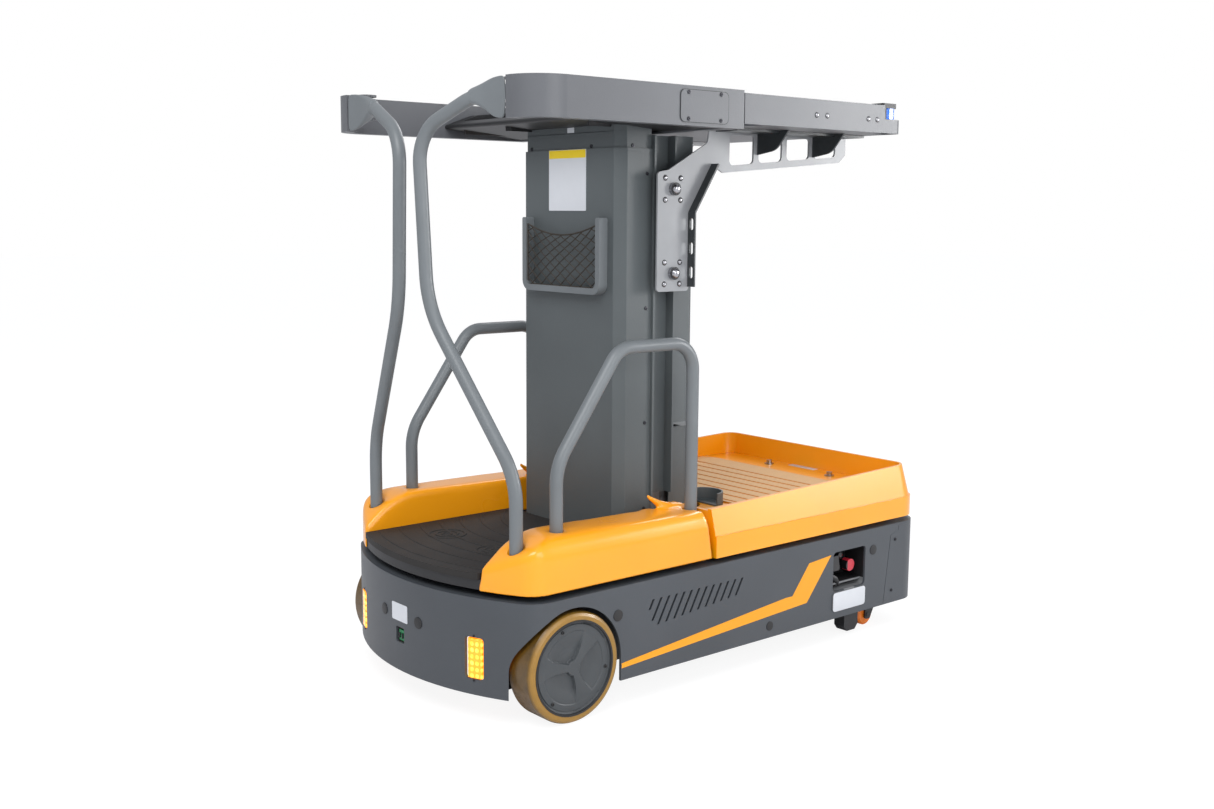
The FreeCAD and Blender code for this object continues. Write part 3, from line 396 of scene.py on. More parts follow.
def make_finishes(tones):
    """Fills the table of finishes, which the pieces and nodes look up by short name."""
    FINISHES.update(
        chassis=powder_coat("chassis_paint", tones.chassis),
        cover=gloss_cover(tones.cover),
        column=powder_coat("column_grey", tones.column, 0.46, 700.0, 0.0002),
        console=powder_coat("console_grey", tones.console, 0.4),
        tube=powder_coat("tube_grey", tones.tube, 0.38),
        bracket=bracket_coat(tones.bracket, linear(50, 54, 56)),
        frame=powder_coat("frame_black", linear(38, 38, 40), 0.5),
        mast=mast_steel(linear(112, 114, 116), linear(40, 35, 30)),
        mat=rubber(tones.mat),
        tread=tread(tones.tread),
        hub=plastic("hub_grey", tones.hub, 0.45),
        black=plastic("black_plastic", linear(30, 30, 32), 0.48),
        red=plastic("control_red", linear(190, 24, 26), 0.3),
        green=plastic("socket_green", linear(20, 120, 70), 0.35),
        bay=bay_plastic(linear(24, 24, 26), linear(118, 120, 122)),
        levers=bay_levers(linear(205, 40, 60), linear(22, 22, 24)),
        battery=plastic("battery_case", linear(44, 44, 46), 0.6),
        caster=plastic("caster_polyurethane", linear(228, 120, 30), 0.35),
        deck=deck_sheet(tones.deck, linear(222, 140, 30)),
        lamp=lamp_glass(tones.lamp),
        beacon=lens(tones.beacon),
        bolt=metal("bolt_steel", linear(172, 172, 176), 0.24),
        dark_bolt=metal("dark_bolt", linear(70, 70, 74), 0.35),
        chrome=metal("rod_chrome", linear(220, 220, 224), 0.12),
        cord=cord_fibre(),
        white=label_film("label_white", linear(214, 217, 222)),
        amber=label_film("label_amber", linear(247, 214, 22)),
        stripe=label_film("stripe_orange", linear(248, 164, 10)),
        screen=label_film("screen_dark", linear(26, 32, 38)),
    )


NODE_FINISHES = {
    "chassis": ["chassis_shell", "front_cover"],
    "frame": ["inner_frame", "drive_unit_left", "drive_unit_right", "caster_fork_left", "caster_fork_right",
              "skid_blocks", "lift_barrel", "platform_floor"],
    "battery": ["battery"],
    "tread": ["drive_tyre_left", "drive_tyre_right"],
    "hub": ["drive_hub_left", "drive_hub_right"],
    "caster": ["caster_wheel_left", "caster_wheel_right"],
    "black": ["dash", "beacon_housing"],
    "bay": ["control_bay"],
    "levers": ["bay_controls"],
    "red": ["dash_controls"],
    "lamp": ["rear_lamps"],
    "cover": ["load_deck", "side_cover_left", "side_cover_right"],
    "deck": ["deck_panel"],
    "bolt": ["deck_bolts", "shelf_rollers"],
    "column": ["deck_collar", "mast_foot_cover", "carriage", "column_cover", "mast_front_cover"],
    "mast": ["mast_outer", "mast_middle", "mast_inner"],
    "chrome": ["lift_rod"],
    "mat": ["floor_mat"],
    "tube": ["grab_rail_left", "grab_rail_right", "gate_left", "gate_right", "net_frame"],
    "console": ["console_frame", "shelf_tray"],
    "bracket": ["shelf_brackets"],
    "beacon": ["beacon_lens"],
}


def aim(place, normal):
    """Matrix that puts a shape's +Z along normal at place."""
    turn = Vector(normal).to_track_quat("Z", "Y").to_matrix().to_4x4()
    return Matrix.Translation(Vector(place)) @ turn


def gather(target, source, index=0):
    """Adds one finished bmesh to another with its material number."""
    bmesh.ops.recalc_face_normals(source, faces=source.faces)
    for face in source.faces:
        face.material_index = index
        face.smooth = True
    for edge in source.edges:
        edge.smooth = edge.calc_face_angle(0) < 0.6
    mesh = bpy.data.meshes.new("gather")
    source.to_mesh(mesh)
    source.free()
    target.from_mesh(mesh)
    bpy.data.meshes.remove(mesh)


def along(edge, axis):
    """Whether the edge runs along that axis."""
    step = edge.verts[1].co - edge.verts[0].co
    return step.length > 1e-7 and abs(step.normalized()[axis]) > 0.99


def rounded(bm, edges, offset, segments):
    """Rounds the given edges."""
    bmesh.ops.bevel(bm, geom=edges, offset=offset, affect="EDGES", segments=segments, profile=0.5,
                    material=-1)


def block(target, matrix, size, corner=0.0, edge=0.0, index=0):
    """A rounded block: upright edges get the corner radius, then every sharp edge the small one."""
    bm = bmesh.new()
    bmesh.ops.create_cube(bm, size=1)
    bmesh.ops.scale(bm, vec=size, verts=bm.verts)
    if corner:
        rounded(bm, [e for e in bm.edges if along(e, 2)], corner, 5)
    if edge:
        rounded(bm, [e for e in bm.edges if e.calc_face_angle(0) > 0.9], edge, 2)
    bmesh.ops.transform(bm, matrix=matrix, verts=bm.verts)
    gather(target, bm, index)


def stud(target, matrix, radius, height, socket=0.0, index=0, segments=20, dome=0.3):
    """A round head on +Z with a rolled edge and, if asked for, a round socket."""
    roll = min(radius, height) * dome
    bm = bmesh.new()
    bmesh.ops.create_cone(bm, cap_ends=True, segments=segments, radius1=radius, radius2=radius, depth=height)
    bmesh.ops.translate(bm, vec=(0, 0, height / 2), verts=bm.verts)
    top = [e for e in bm.edges if all(v.co.z > height * 0.9 for v in e.verts)]
    rounded(bm, top, roll, 3)
    if socket:
        cap = max(bm.faces, key=lambda f: f.calc_center_median().z)
        bmesh.ops.inset_region(bm, faces=[cap], thickness=radius - roll - socket)
        grown = bmesh.ops.extrude_face_region(bm, geom=[cap])
        verts = [v for v in grown["geom"] if isinstance(v, bmesh.types.BMVert)]
        bmesh.ops.delete(bm, geom=[cap], context="FACES_ONLY")
        bmesh.ops.translate(bm, vec=(0, 0, -height * 0.6), verts=verts)
    bmesh.ops.transform(bm, matrix=matrix, verts=bm.verts)
    gather(target, bm, index)


def domed(target, spot, side, radius):
    """A domed steel head on a dark disc, a painted shadow round its foot, facing out of one side."""
    matrix = aim(spot, (0, side, 0))
    # The dark disc under the head is painted shadow.
    stud(target, matrix, radius * 1.3, 0.001, index=1)
    stud(target, matrix, radius, radius * 0.75, dome=0.95)


def outline_plate(target, matrix, points, thickness):
    """A flat plate cut to a drawn outline, in the matrix's XY plane."""
    bm = bmesh.new()
    face = bm.faces.new([bm.verts.new((x, y, 0)) for x, y in points])
    grown = bmesh.ops.extrude_face_region(bm, geom=[face])
    verts = [v for v in grown["geom"] if isinstance(v, bmesh.types.BMVert)]
    bmesh.ops.translate(bm, vec=(0, 0, thickness), verts=verts)
    bmesh.ops.transform(bm, matrix=matrix, verts=bm.verts)
    gather(target, bm)


def lathe_ring(target, matrix, section, steps):
    """Turns a closed section of (radius, height) once round +Z."""
    bm = bmesh.new()
    corners = [bm.verts.new((radius, 0, rise)) for radius, rise in section]
    for n, corner in enumerate(corners):
        bm.edges.new((corner, corners[(n + 1) % len(corners)]))
    bmesh.ops.spin(bm, geom=bm.verts[:] + bm.edges[:], cent=(0, 0, 0), axis=(0, 0, 1), angle=2 * math.pi,
                   steps=steps, use_merge=True, use_duplicate=False)
    bmesh.ops.transform(bm, matrix=matrix, verts=bm.verts)
    gather(target, bm)


def skin(bm, rings):
    """Joins closed rings of as many vertices into one closed skin."""
    count = len(rings[0])
    for first, second in zip(rings, rings[1:]):
        for n in range(count):
            m = (n + 1) % count
            bm.faces.new((first[n], first[m], second[m], second[n]))
    bm.faces.new(rings[0])
    bm.faces.new(rings[-1])


def ball_chain(bm, spots, count, side=1):
    """Overlapping balls along a route of (x, y, z, radius), with y on the given side."""
    for first, second in zip(spots, spots[1:]):
        for n in range(count):
            x, y, z, radius = (a + (b - a) * n / count for a, b in zip(first, second))
            middle = Matrix.Translation((x, side * y, z))
            bmesh.ops.create_icosphere(bm, subdivisions=2, radius=radius, matrix=middle)


def softened(bm):
    """Shades every face of bm smoothly."""
    for face in bm.faces:
        face.smooth = True
    return bm


def piece(bm, name, body, slot, *finishes):
    """Turns a bmesh into a named piece that rides on a CAD body."""
    mesh = bpy.data.meshes.new(name)
    bm.to_mesh(mesh)
    bm.free()
    for finish in finishes:
        mesh.materials.append(FINISHES[finish])
    made = bpy.data.objects.new(name, mesh)
    bpy.context.scene.collection.objects.link(made)
    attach(made, body)
    return made


def ease(amount, low, high):
    """Smooth step from 0 at low to 1 at high."""
    part = min(1.0, max(0.0, (amount - low) / (high - low)))
    return part * part * (3 - 2 * part)


def node_mesh(name):
    """A bmesh copy of one CAD node's mesh."""
    bm = bmesh.new()
    bm.from_mesh(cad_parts[name].data)
    return bm


def solved(bm, kind, settings, weights=None, cutter=None):
    """The bmesh that one modifier makes of bm, with a share per vertex or a second bmesh to cut with."""
    scene = bpy.context.scene
    shares = [weights(v.co) for v in bm.verts] if weights else []
    mesh = bpy.data.meshes.new("work")
    bm.to_mesh(mesh)
    bm.free()
    work = bpy.data.objects.new("work", mesh)
    scene.collection.objects.link(work)
    modifier = work.modifiers.new("Step", kind)
    for key, setting in settings.items():
        setattr(modifier, key, setting)
    if shares:
        group = work.vertex_groups.new(name="share")
        for n, share in enumerate(shares):
            group.add([n], share, "REPLACE")
        modifier.vertex_group = "share"
    tool = None
    if cutter:
        data = bpy.data.meshes.new("tool")
        cutter.to_mesh(data)
        cutter.free()
        tool = bpy.data.objects.new("tool", data)
        scene.collection.objects.link(tool)
        modifier.object = tool
    made = bmesh.new()
    made.from_object(work, bpy.context.evaluated_depsgraph_get())
    for item in filter(None, (work, tool)):
        data = item.data
        bpy.data.objects.remove(item)
        bpy.data.meshes.remove(data)
    return made


def upright_rod(target, x, y, low, high, radius, segments=48):
    """A plain upright rod from low to high."""
    matrix = Matrix.Translation((x, y, (low + high) / 2))
    bmesh.ops.create_cone(target, cap_ends=True, segments=segments, radius1=radius, radius2=radius,
                          depth=high - low, matrix=matrix)


# Places on the truck in metres, +X ahead and +Z up.
SIDES = (("left", 1), ("right", -1))
REAR_BOW = 0.655
REAR_MIDDLE = -0.0635
SKIRT_FACE = 0.3688
STRIPE_FACE = 0.3691
COLUMN_FACE = 0.1923
CAP_FACE = 0.1882
CAP_SEAM = 1.2635
ARM_FACE = 0.4167
SHELF_FACE = 0.4098
BRACKET_FACE = 0.2273
ROLLER_FACE = 0.2365
ROLLER_X = -0.0955
SCREW_RING = 0.091


def rear_face(y, z, out=0.0):
    """Point on the bowed rear face and its outward normal."""
    x = REAR_MIDDLE - math.sqrt(REAR_BOW ** 2 - y ** 2)
    normal = Vector((x - REAR_MIDDLE, y, 0)).normalized()
    return Vector((x, y, z)) + normal * out, normal


class TRUCK_OT_finishes(bpy.types.Operator):
    """Makes every finish and gives it to the CAD nodes."""

    bl_idname = "truck.finishes"
    bl_label = "Paint the frame"

    def execute(self, context):
        make_finishes(context.scene.truck_colours)
        for finish, names in NODE_FINISHES.items():
            for name in names:
                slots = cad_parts[name].data.materials
                slots.clear()
                slots.append(FINISHES[finish])
        return {"FINISHED"}


class TRUCK_OT_skirt(bpy.types.Operator):
    """Adds the stripes, plugs, screws and plates of the chassis skirt."""

    bl_idname = "truck.skirt"
    bl_label = "Skirt details"

    def execute(self, context):
        sizes = context.scene.truck_sizes
        stripe = [(-0.3665, 0.0935), (0.2545, 0.1286), (0.345, 0.2385), (0.2605, 0.231), (0.2, 0.156),
                  (0.1751, 0.1562), (-0.3375, 0.108), (-0.3665, 0.105)]
        bm = bmesh.new()
        for side in (-1, 1):
            depth = side * STRIPE_FACE - sizes.stripe / 2
            upright = Matrix(((1, 0, 0, 0), (0, 0, 1, depth), (0, 1, 0, 0), (0, 0, 0, 1)))
            outline_plate(bm, upright, stripe, sizes.stripe)
        piece(bm, "side_stripes", "chassis", "cover_yellow", "stripe")
        bm = bmesh.new()
        for side in (-1, 1):
            for x, z, r in ((-0.3785, 0.219, 1.0), (0.1185, 0.095, 0.88), (0.515, 0.2256, 1.0)):
                stud(bm, aim((x, side * SKIRT_FACE, z), (0, side, 0)), sizes.plug * r, 0.0016, segments=28)
        for y in (-0.072, 0.072):
            point, normal = rear_face(y, 0.195, -0.0006)
            stud(bm, aim(point, normal), sizes.plug, 0.0022, segments=28)
        piece(bm, "skirt_plugs", "chassis", "black_plastic", "black")
        bm = bmesh.new()
        for side in (-1, 1):
            for x, z in ((0.6075, 0.24), (0.5985, 0.1)):
                spot = (x, side * SKIRT_FACE, z)
                stud(bm, aim(spot, (0, side, 0)), sizes.screw, 0.0025, sizes.screw * 0.45)
            for z in (0.098, 0.198):
                point, normal = rear_face(side * 0.2345, z, -0.0004)
                stud(bm, aim(point, normal), 0.003, 0.0018, 0.0014, segments=14)
        piece(bm, "skirt_screws", "chassis", "bolt_steel", "dark_bolt")
        bm = bmesh.new()
        point, normal = rear_face(0.0, 0.203, 0.0001)
        block(bm, aim(point, normal), (0.065, 0.041, 0.001), 0.003)
        piece(bm, "rear_plate", "chassis", "bolt_steel", "white")
        bm = bmesh.new()
        block(bm, aim((0.419, -0.3722, 0.1095), (0, -1, 0)), (0.128, 0.05, 0.0008), 0.008, 0.0002)
        piece(bm, "bay_plate", "chassis", "bolt_steel", "white")
        bm = bmesh.new()
        block(bm, Matrix.Translation((0.666, 0.0175, 0.3724)), (0.022, 0.098, 0.0008), 0.003, 0.0002)
        piece(bm, "deck_plate", "chassis", "bolt_steel", "white")
        bm = bmesh.new()
        block(bm, Matrix.Translation((-0.704, 0, 0.148)), (0.02, 0.026, 0.026), 0.003, 0.001, 0)
        for n in (-1, 1):
            pin = Matrix.Translation((-0.7155, n * 0.006, 0.148))
            block(bm, pin, (0.004, 0.004, 0.012), 0.0, 0.0004, 1)
        piece(bm, "rear_socket", "chassis", "black_plastic", "green", "black")
        return {"FINISHED"}


class TRUCK_OT_wheels(bpy.types.Operator):
    """Adds the seal ring and the three cap screws of each drive wheel."""

    bl_idname = "truck.wheels"
    bl_label = "Wheel details"

    def execute(self, context):
        section = ((0.1024, 0.0008), (0.1032, 0.0027), (0.1075, 0.0027), (0.1083, 0.0008))
        for word, side in SIDES:
            centre = Vector((-0.504, side * 0.3715, 0.125))
            bm = bmesh.new()
            lathe_ring(bm, aim(centre, (0, side, 0)), section, 72)
            for angle in (110, 230, 350):
                turn = math.radians(angle)
                x = centre.x + SCREW_RING * math.cos(turn)
                z = centre.z + SCREW_RING * math.sin(turn)
                spot = (x, side * 0.3679, z)
                stud(bm, aim(spot, (0, side, 0)), 0.0042, 0.0022, 0.0022, segments=18)
            piece(bm, "wheel_trim_" + word, "drive_wheel_" + word, "black_plastic", "black")
        return {"FINISHED"}


# Heights on the hub cap over the wheel's middle, and the angles of its three arms.
DISH_LEVEL = 0.0286
STAR_LEVEL = 0.0375
RIM_LEVEL = 0.035
CAP_BACK = 0.0268
STAR_ARMS = (52, 172, 292)


def cap_rise(radius, angle):
    """Height of the hub cap's face over the wheel's middle: a three-armed star in a shallow dish."""
    near = min(abs((angle - arm + 180) % 360 - 180) for arm in STAR_ARMS)
    across = radius * math.sin(math.radians(near)) if near < 90 else radius
    half = 0.0078 + 0.0185 * (radius / 0.084) ** 2.2
    star = max(1 - ease(across, half - 0.0006, half + 0.002), 1 - ease(radius, 0.0165, 0.0195))
    floor = DISH_LEVEL + 0.0046 * ease(radius, 0.04, 0.081)
    level = floor + (STAR_LEVEL - 0.0028 * ease(radius, 0.015, 0.084) - floor) * star
    return level + (RIM_LEVEL - level) * ease(radius, 0.0815, 0.0838)


class TRUCK_OT_hubs(bpy.types.Operator):
    """Puts the star-shaped cap on each drive wheel's hub."""

    bl_idname = "truck.hubs"
    bl_label = "Hub caps"

    def execute(self, context):
        edge = 0.0972
        count = 62
        turns = 220
        seat = 0.0255
        face = 0.0385
        for word, side in SIDES:
            low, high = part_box("drive_hub_" + word)
            centre = (low + high) / 2
            middle = (high.y if side > 0 else low.y) - side * face
            bm = node_mesh("drive_hub_" + word)
            for vert in bm.verts:
                radius = math.hypot(vert.co.x - centre.x, vert.co.z - centre.z)
                if radius < edge - 0.0002 and (vert.co.y - middle) * side > seat:
                    vert.co.y = middle + side * seat
            cap = bmesh.new()
            rings = []
            for step in range(1, count + 2):
                radius = edge * min(step, count) / count
                ring = []
                for n in range(turns):
                    angle = 360 * n / turns
                    rise = cap_rise(radius, angle) if step <= count else CAP_BACK
                    x = centre.x + radius * math.cos(math.radians(angle))
                    z = centre.z + radius * math.sin(math.radians(angle))
                    ring.append(cap.verts.new((x, middle + side * rise, z)))
                rings.append(ring)
            skin(cap, rings)
            gather(bm, cap)
            made = piece(bm, "hub_cap_" + word, "drive_wheel_" + word, "hub_grey", "hub")
            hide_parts("drive_hub_" + word)
        return {"FINISHED"}


# Route of the horn: x, distance from the middle, z, radius.
HORN = ((-0.096, 0.262, 0.405, 0.016), (-0.132, 0.259, 0.4125, 0.0135), (-0.157, 0.256, 0.424, 0.0095),
        (-0.176, 0.254, 0.436, 0.0068), (-0.190, 0.2525, 0.4455, 0.0048))


class TRUCK_OT_covers(bpy.types.Operator):
    """Moulds the side covers: rounded nose, soft shoulder and the horn beside the mast."""

    bl_idname = "truck.covers"
    bl_label = "Side covers"

    def execute(self, context):
        for word, side in SIDES:
            name = "side_cover_" + word
            bm = node_mesh(name)
            # The blank's own horn is sunk, since the chain of balls takes its place.
            for vert in bm.verts:
                if -0.19 < vert.co.x < -0.1 and vert.co.z > 0.4195 and abs(vert.co.y) < 0.2575:
                    vert.co.z = 0.405
            holes = ((-0.6035, 0.293, 0.0195), (-0.4975, 0.297, 0.018))
            for x, y, radius in holes:
                upright_rod(bm, x, side * y, 0.323, 0.41 if x > -0.6 else 0.385, radius + 0.002)
            ball_chain(bm, HORN, 9, side)
            bm = solved(bm, "REMESH", {"mode": "VOXEL", "voxel_size": 0.0034})

            def nose(co):
                """How far the nose is smoothed at a point; the horn and the front stay sharper."""
                horn = ease(co.x, -0.225, -0.195) * (1 - ease(abs(co.y), 0.272, 0.285))
                return ease(co.z, 0.306, 0.345) * (1 - 0.95 * horn) * (1 - ease(co.x, -0.125, -0.1))

            bm = solved(bm, "SMOOTH", {"factor": 0.5, "iterations": 90}, nose)
            bm = solved(bm, "SMOOTH", {"factor": 0.5, "iterations": 6}, lambda co: ease(co.z, 0.3, 0.315))
            drills = bmesh.new()
            for x, y, radius in holes:
                upright_rod(drills, x, side * y, 0.28, 0.46, radius)
            upright_rod(drills, -0.1285, side * 0.262, 0.408, 0.46, 0.0042, 24)
            bm = solved(bm, "BOOLEAN", {"operation": "DIFFERENCE"}, cutter=drills)
            made = piece(softened(bm), name + "_moulded", "platform", "cover_yellow", "cover")
            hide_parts(name)
        return {"FINISHED"}


class TRUCK_OT_column(bpy.types.Operator):
    """Adds the column's screws and blank plate, and the net pocket."""

    bl_idname = "truck.column"
    bl_label = "Column details"

    def execute(self, context):
        sizes = context.scene.truck_sizes
        socket = sizes.screw * 0.4
        bm = bmesh.new()
        for z in (0.4, 0.61, 0.885, 1.2):
            for side in (-1, 1):
                stud(bm, aim((-0.148, side * COLUMN_FACE, z), (0, side, 0)), sizes.screw, 0.002, socket)
        for y in (-0.15, 0.0835):
            stud(bm, aim((-0.2273, -y, CAP_SEAM), (-1, 0, 0)), sizes.screw, 0.002, socket)
        for side in (-1, 1):
            stud(bm, aim((-0.19, side * CAP_FACE, CAP_SEAM), (0, side, 0)), sizes.screw, 0.002, socket)
        piece(bm, "column_screws", "platform", "bolt_steel", "dark_bolt")
        bm = bmesh.new()
        block(bm, aim((-0.2321, 0.002, 1.1855), (-1, 0, 0)), (0.143, 0.145, 0.0008), 0.002)
        block(bm, aim((-0.2327, 0.002, 1.2475), (-1, 0, 0)), (0.14, 0.019, 0.0006), 0.001, index=1)
        block(bm, aim((-0.2281, -0.006, 1.3035), (-1, 0, 0)), (0.026, 0.012, 0.0006), 0.001)
        piece(bm, "column_plate", "platform", "bolt_steel", "white", "amber")
        bm = bmesh.new()
        # The neck's outline as seen from above.
        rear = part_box("column_cover")[0].x + 0.004
        front = -0.1313
        wide = 0.188
        neck = [(front, -wide), (rear + 0.02, -wide), (rear, -0.167), (rear, 0.167), (rear + 0.02, wide),
                (front, wide)]
        outline_plate(bm, Matrix.Translation((0, 0, 1.2955)), neck, 0.027)
        piece(bm, "column_neck", "platform", "column_grey", "column")
        low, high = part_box("net")
        bm = bmesh.new()
        bmesh.ops.create_grid(bm, x_segments=17, y_segments=17, size=0.2)
        bmesh.ops.rotate(bm, cent=(0, 0, 0), matrix=Matrix.Rotation(math.radians(45), 3, "Z"), verts=bm.verts)
        bmesh.ops.scale(bm, vec=(1.15, 0.85, 1), verts=bm.verts)
        half = (high.y - low.y) / 2
        tall = high.z - low.z
        edges = (((half, 0, 0), (1, 0, 0)), ((-half, 0, 0), (-1, 0, 0)), ((0, tall / 2, 0), (0, 1, 0)),
                 ((0, -tall / 2, 0), (0, -1, 0)))
        for point, normal in edges:
            geometry = bm.verts[:] + bm.edges[:] + bm.faces[:]
            bmesh.ops.bisect_plane(bm, geom=geometry, plane_co=point, plane_no=normal, clear_outer=True)
        for vert in bm.verts:
            across = 1 - (vert.co.x / half) ** 2
            up = vert.co.y / tall + 0.5
            vert.co.y -= 0.026 * across * up * up
            vert.co.z = 0.006 * across * math.sin(math.pi * up * 0.9)
        middle = (low + high) / 2
        upright = Matrix(((0, 0, -1, middle.x), (1, 0, 0, 0), (0, 1, 0, middle.z), (0, 0, 0, 1)))
        bmesh.ops.transform(bm, matrix=upright, verts=bm.verts)
        made = piece(bm, "pocket_net", "platform", "net_cord", "cord")
        wires = made.modifiers.new("Cords", "WIREFRAME")
        wires.thickness = sizes.cord
        wires.use_even_offset = False
        wires.use_boundary = True
        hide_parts("net")
        return {"FINISHED"}


class TRUCK_OT_platform(bpy.types.Operator):
    """Adds the mat's ribs and foot pads."""

    bl_idname = "truck.platform"
    bl_label = "Platform details"

    def execute(self, context):
        sizes = context.scene.truck_sizes
        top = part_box("floor_mat")[1].z
        bm = bmesh.new()
        for n in range(7):
            bow = 0.6 - 0.052 * n
            half = min(0.225, 0.9 * bow)
            reach = math.asin(half / bow)
            ring = bmesh.new()
            section = ((0, 0), (0.0015, sizes.rib), (0.0075, sizes.rib), (0.009, 0))
            ring.faces.new([ring.verts.new((-bow + a, 0, b)) for a, b in section])
            start = Matrix.Rotation(-reach, 3, "Z")
            bmesh.ops.rotate(ring, cent=(0, 0, 0), matrix=start, verts=ring.verts)
            geometry = ring.verts[:] + ring.edges[:] + ring.faces[:]
            bmesh.ops.spin(ring, geom=geometry, cent=(0, 0, 0), axis=(0, 0, 1), angle=2 * reach, steps=28,
                           use_merge=False, use_duplicate=False)
            bmesh.ops.translate(ring, vec=(REAR_MIDDLE - 0.02, 0, top - 0.0002), verts=ring.verts)
            gather(bm, ring)
        for y in (-0.1, 0.1):
            for radius in (0.008, 0.023, 0.041):
                section = [(radius + a, b) for a, b in ((0, 0), (0.0015, 0.0022), (0.0055, 0.0022), (0.007, 0))]
                lathe_ring(bm, Matrix.Translation((-0.5225, y, top - 0.0002)), section, 40)
        piece(bm, "mat_ribs", "platform", "mat_rubber", "mat")
        return {"FINISHED"}


class TRUCK_OT_console(bpy.types.Operator):
    """Adds the console arms' hatches, the shelf's bolts and the dash's screen."""

    bl_idname = "truck.console"
    bl_label = "Console and shelf details"

    def execute(self, context):
        bm = bmesh.new()
        for side in (-1, 1):
            shadow = aim((-0.181, side * (ARM_FACE - 0.0006), 1.3387), (0, side, 0))
            block(bm, shadow, (0.1465, 0.0705, 0.001), 0.0125, index=1)
            hatch = aim((-0.181, side * (ARM_FACE - 0.0003), 1.3387), (0, side, 0))
            block(bm, hatch, (0.144, 0.068, 0.001), 0.012, index=2)
            for x in (-0.23, -0.132):
                for z in (1.311, 1.3675):
                    stud(bm, aim((x, side * ARM_FACE, z), (0, side, 0)), 0.0046, 0.002, 0.0021)
        piece(bm, "hatch_screws", "platform", "bolt_steel", "dark_bolt", "black", "console")
        bm = bmesh.new()
        for side in (-1, 1):
            for x in (0.193, 0.231, 0.384, 0.418):
                domed(bm, (x, side * SHELF_FACE, 1.3405), side, 0.0052)
            for z in (0.968, 1.165):
                domed(bm, (ROLLER_X, side * ROLLER_FACE, z), side, 0.0118)
                for dx in (-0.0265, 0.0225):
                    for dz in (-0.0255, 0.0255):
                        domed(bm, (ROLLER_X + dx, side * BRACKET_FACE, z + dz), side, 0.0054)
        piece(bm, "shelf_bolts", "shelf", "bolt_steel", "bolt", "black")
        bm = bmesh.new()
        block(bm, Matrix.Translation((-0.195, 0, 1.3745)), (0.078, 0.068, 0.0012), 0.006, 0)
        piece(bm, "dash_screen", "platform", "black_plastic", "screen")
        return {"FINISHED"}


# Stations of the cheek: outer x, distance from the middle, thickness, low z, high z.
CHEEK = ((-0.6472, 0.3192, 0.0036, 1.2972, 1.3818), (-0.6474, 0.3, 0.0045, 1.2976, 1.3816),
         (-0.6472, 0.28, 0.006, 1.3005, 1.3806), (-0.6472, 0.262, 0.012, 1.308, 1.3784),
         (-0.6482, 0.245, 0.02, 1.3165, 1.3748), (-0.651, 0.228, 0.026, 1.3235, 1.3705),
         (-0.6555, 0.21, 0.029, 1.329, 1.3655), (-0.6605, 0.194, 0.0285, 1.3315, 1.361))


class TRUCK_OT_gates(bpy.types.Operator):
    """Adds the tapering cheek that joins each gate's tube to its hinge at the arm's end."""

    bl_idname = "truck.gates"
    bl_label = "Gate cheeks"

    def execute(self, context):
        corners = ((1, 1, 0), (0, 1, 90), (0, 0, 180), (1, 0, 270))
        for word, side in SIDES:
            bm = bmesh.new()
            cheek = bmesh.new()
            rings = []
            for x, y, thick, low, high in CHEEK:
                corner = min(thick, high - low) * 0.42
                ring = []
                for inner, upper, start in corners:
                    cx = x + (thick - corner if inner else corner)
                    cz = high - corner if upper else low + corner
                    for step in range(5):
                        turn = math.radians(start + step * 22.5)
                        spot = (cx + corner * math.cos(turn), side * y, cz + corner * math.sin(turn))
                        ring.append(cheek.verts.new(spot))
                rings.append(ring)
            skin(cheek, rings)
            gather(bm, cheek)
            bm = solved(bm, "SUBSURF", {"levels": 2, "render_levels": 2})
            piece(softened(bm), "gate_cheek_" + word, "gate_" + word, "tube_grey", "tube")
        return {"FINISHED"}


class TRUCK_OT_dash(bpy.types.Operator):
    """Raises the rear underside of the dash, where the column runs up into it."""

    bl_idname = "truck.dash"
    bl_label = "Dash"

    def execute(self, context):
        bm = node_mesh("dash")
        for vert in bm.verts:
            if vert.co.x < -0.3 and vert.co.z < 1.309:
                vert.co.z += 0.018
        made = piece(bm, "dash_pod", "platform", "black_plastic", "black")
        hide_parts("dash")
        return {"FINISHED"}


class TRUCK_OT_bay(bpy.types.Operator):
    """Adds the release lever and the red stop of the control bay."""

    bl_idname = "truck.bay"
    bl_label = "Control bay levers"

    def execute(self, context):
        bm = bmesh.new()
        spots = ((0.398, -0.345, 0.1475, 0.006), (0.3925, -0.3485, 0.156, 0.0078),
                 (0.384, -0.3495, 0.1645, 0.0092), (0.376, -0.3475, 0.171, 0.0078),
                 (0.3715, -0.343, 0.174, 0.0045))
        lever = bmesh.new()
        ball_chain(lever, spots, 8)
        lever = solved(lever, "REMESH", {"mode": "VOXEL", "voxel_size": 0.0012})
        lever = solved(lever, "SMOOTH", {"factor": 0.5, "iterations": 8})
        gather(bm, lever)
        block(bm, Matrix.Translation((0.3985, -0.341, 0.1465)), (0.02, 0.016, 0.006), 0.003, 0.0008)
        block(bm, Matrix.Translation((0.364, -0.342, 0.157)), (0.007, 0.01, 0.018), 0.002, 0.0008, 1)
        piece(bm, "bay_lever", "chassis", "black_plastic", "black", "red")
        return {"FINISHED"}


# Area lights: name, place, size, power. The gleam is only seen in reflections.
LIGHTS = (("key", (-2.6, -1.6, 3.6), 2.2, 95), ("fill", (-0.5, -4.2, 1.9), 2.6, 60),
          ("rim", (3.2, 1.8, 3.2), 2.0, 55), ("side", (3.1, -3.0, 1.3), 1.8, 18),
          ("gleam", (3.0, -2.3, 1.5), 1.0, 55))
CAMERA_PLACE = (-2.2404, -2.5323, 1.1092)
CAMERA_TURNS = (39.92536643675449, 8.199424558810344, 0.35327076375298844)
CAMERA_LENS = 39.205
CAMERA_SHIFT = (0.00438, -0.0012)


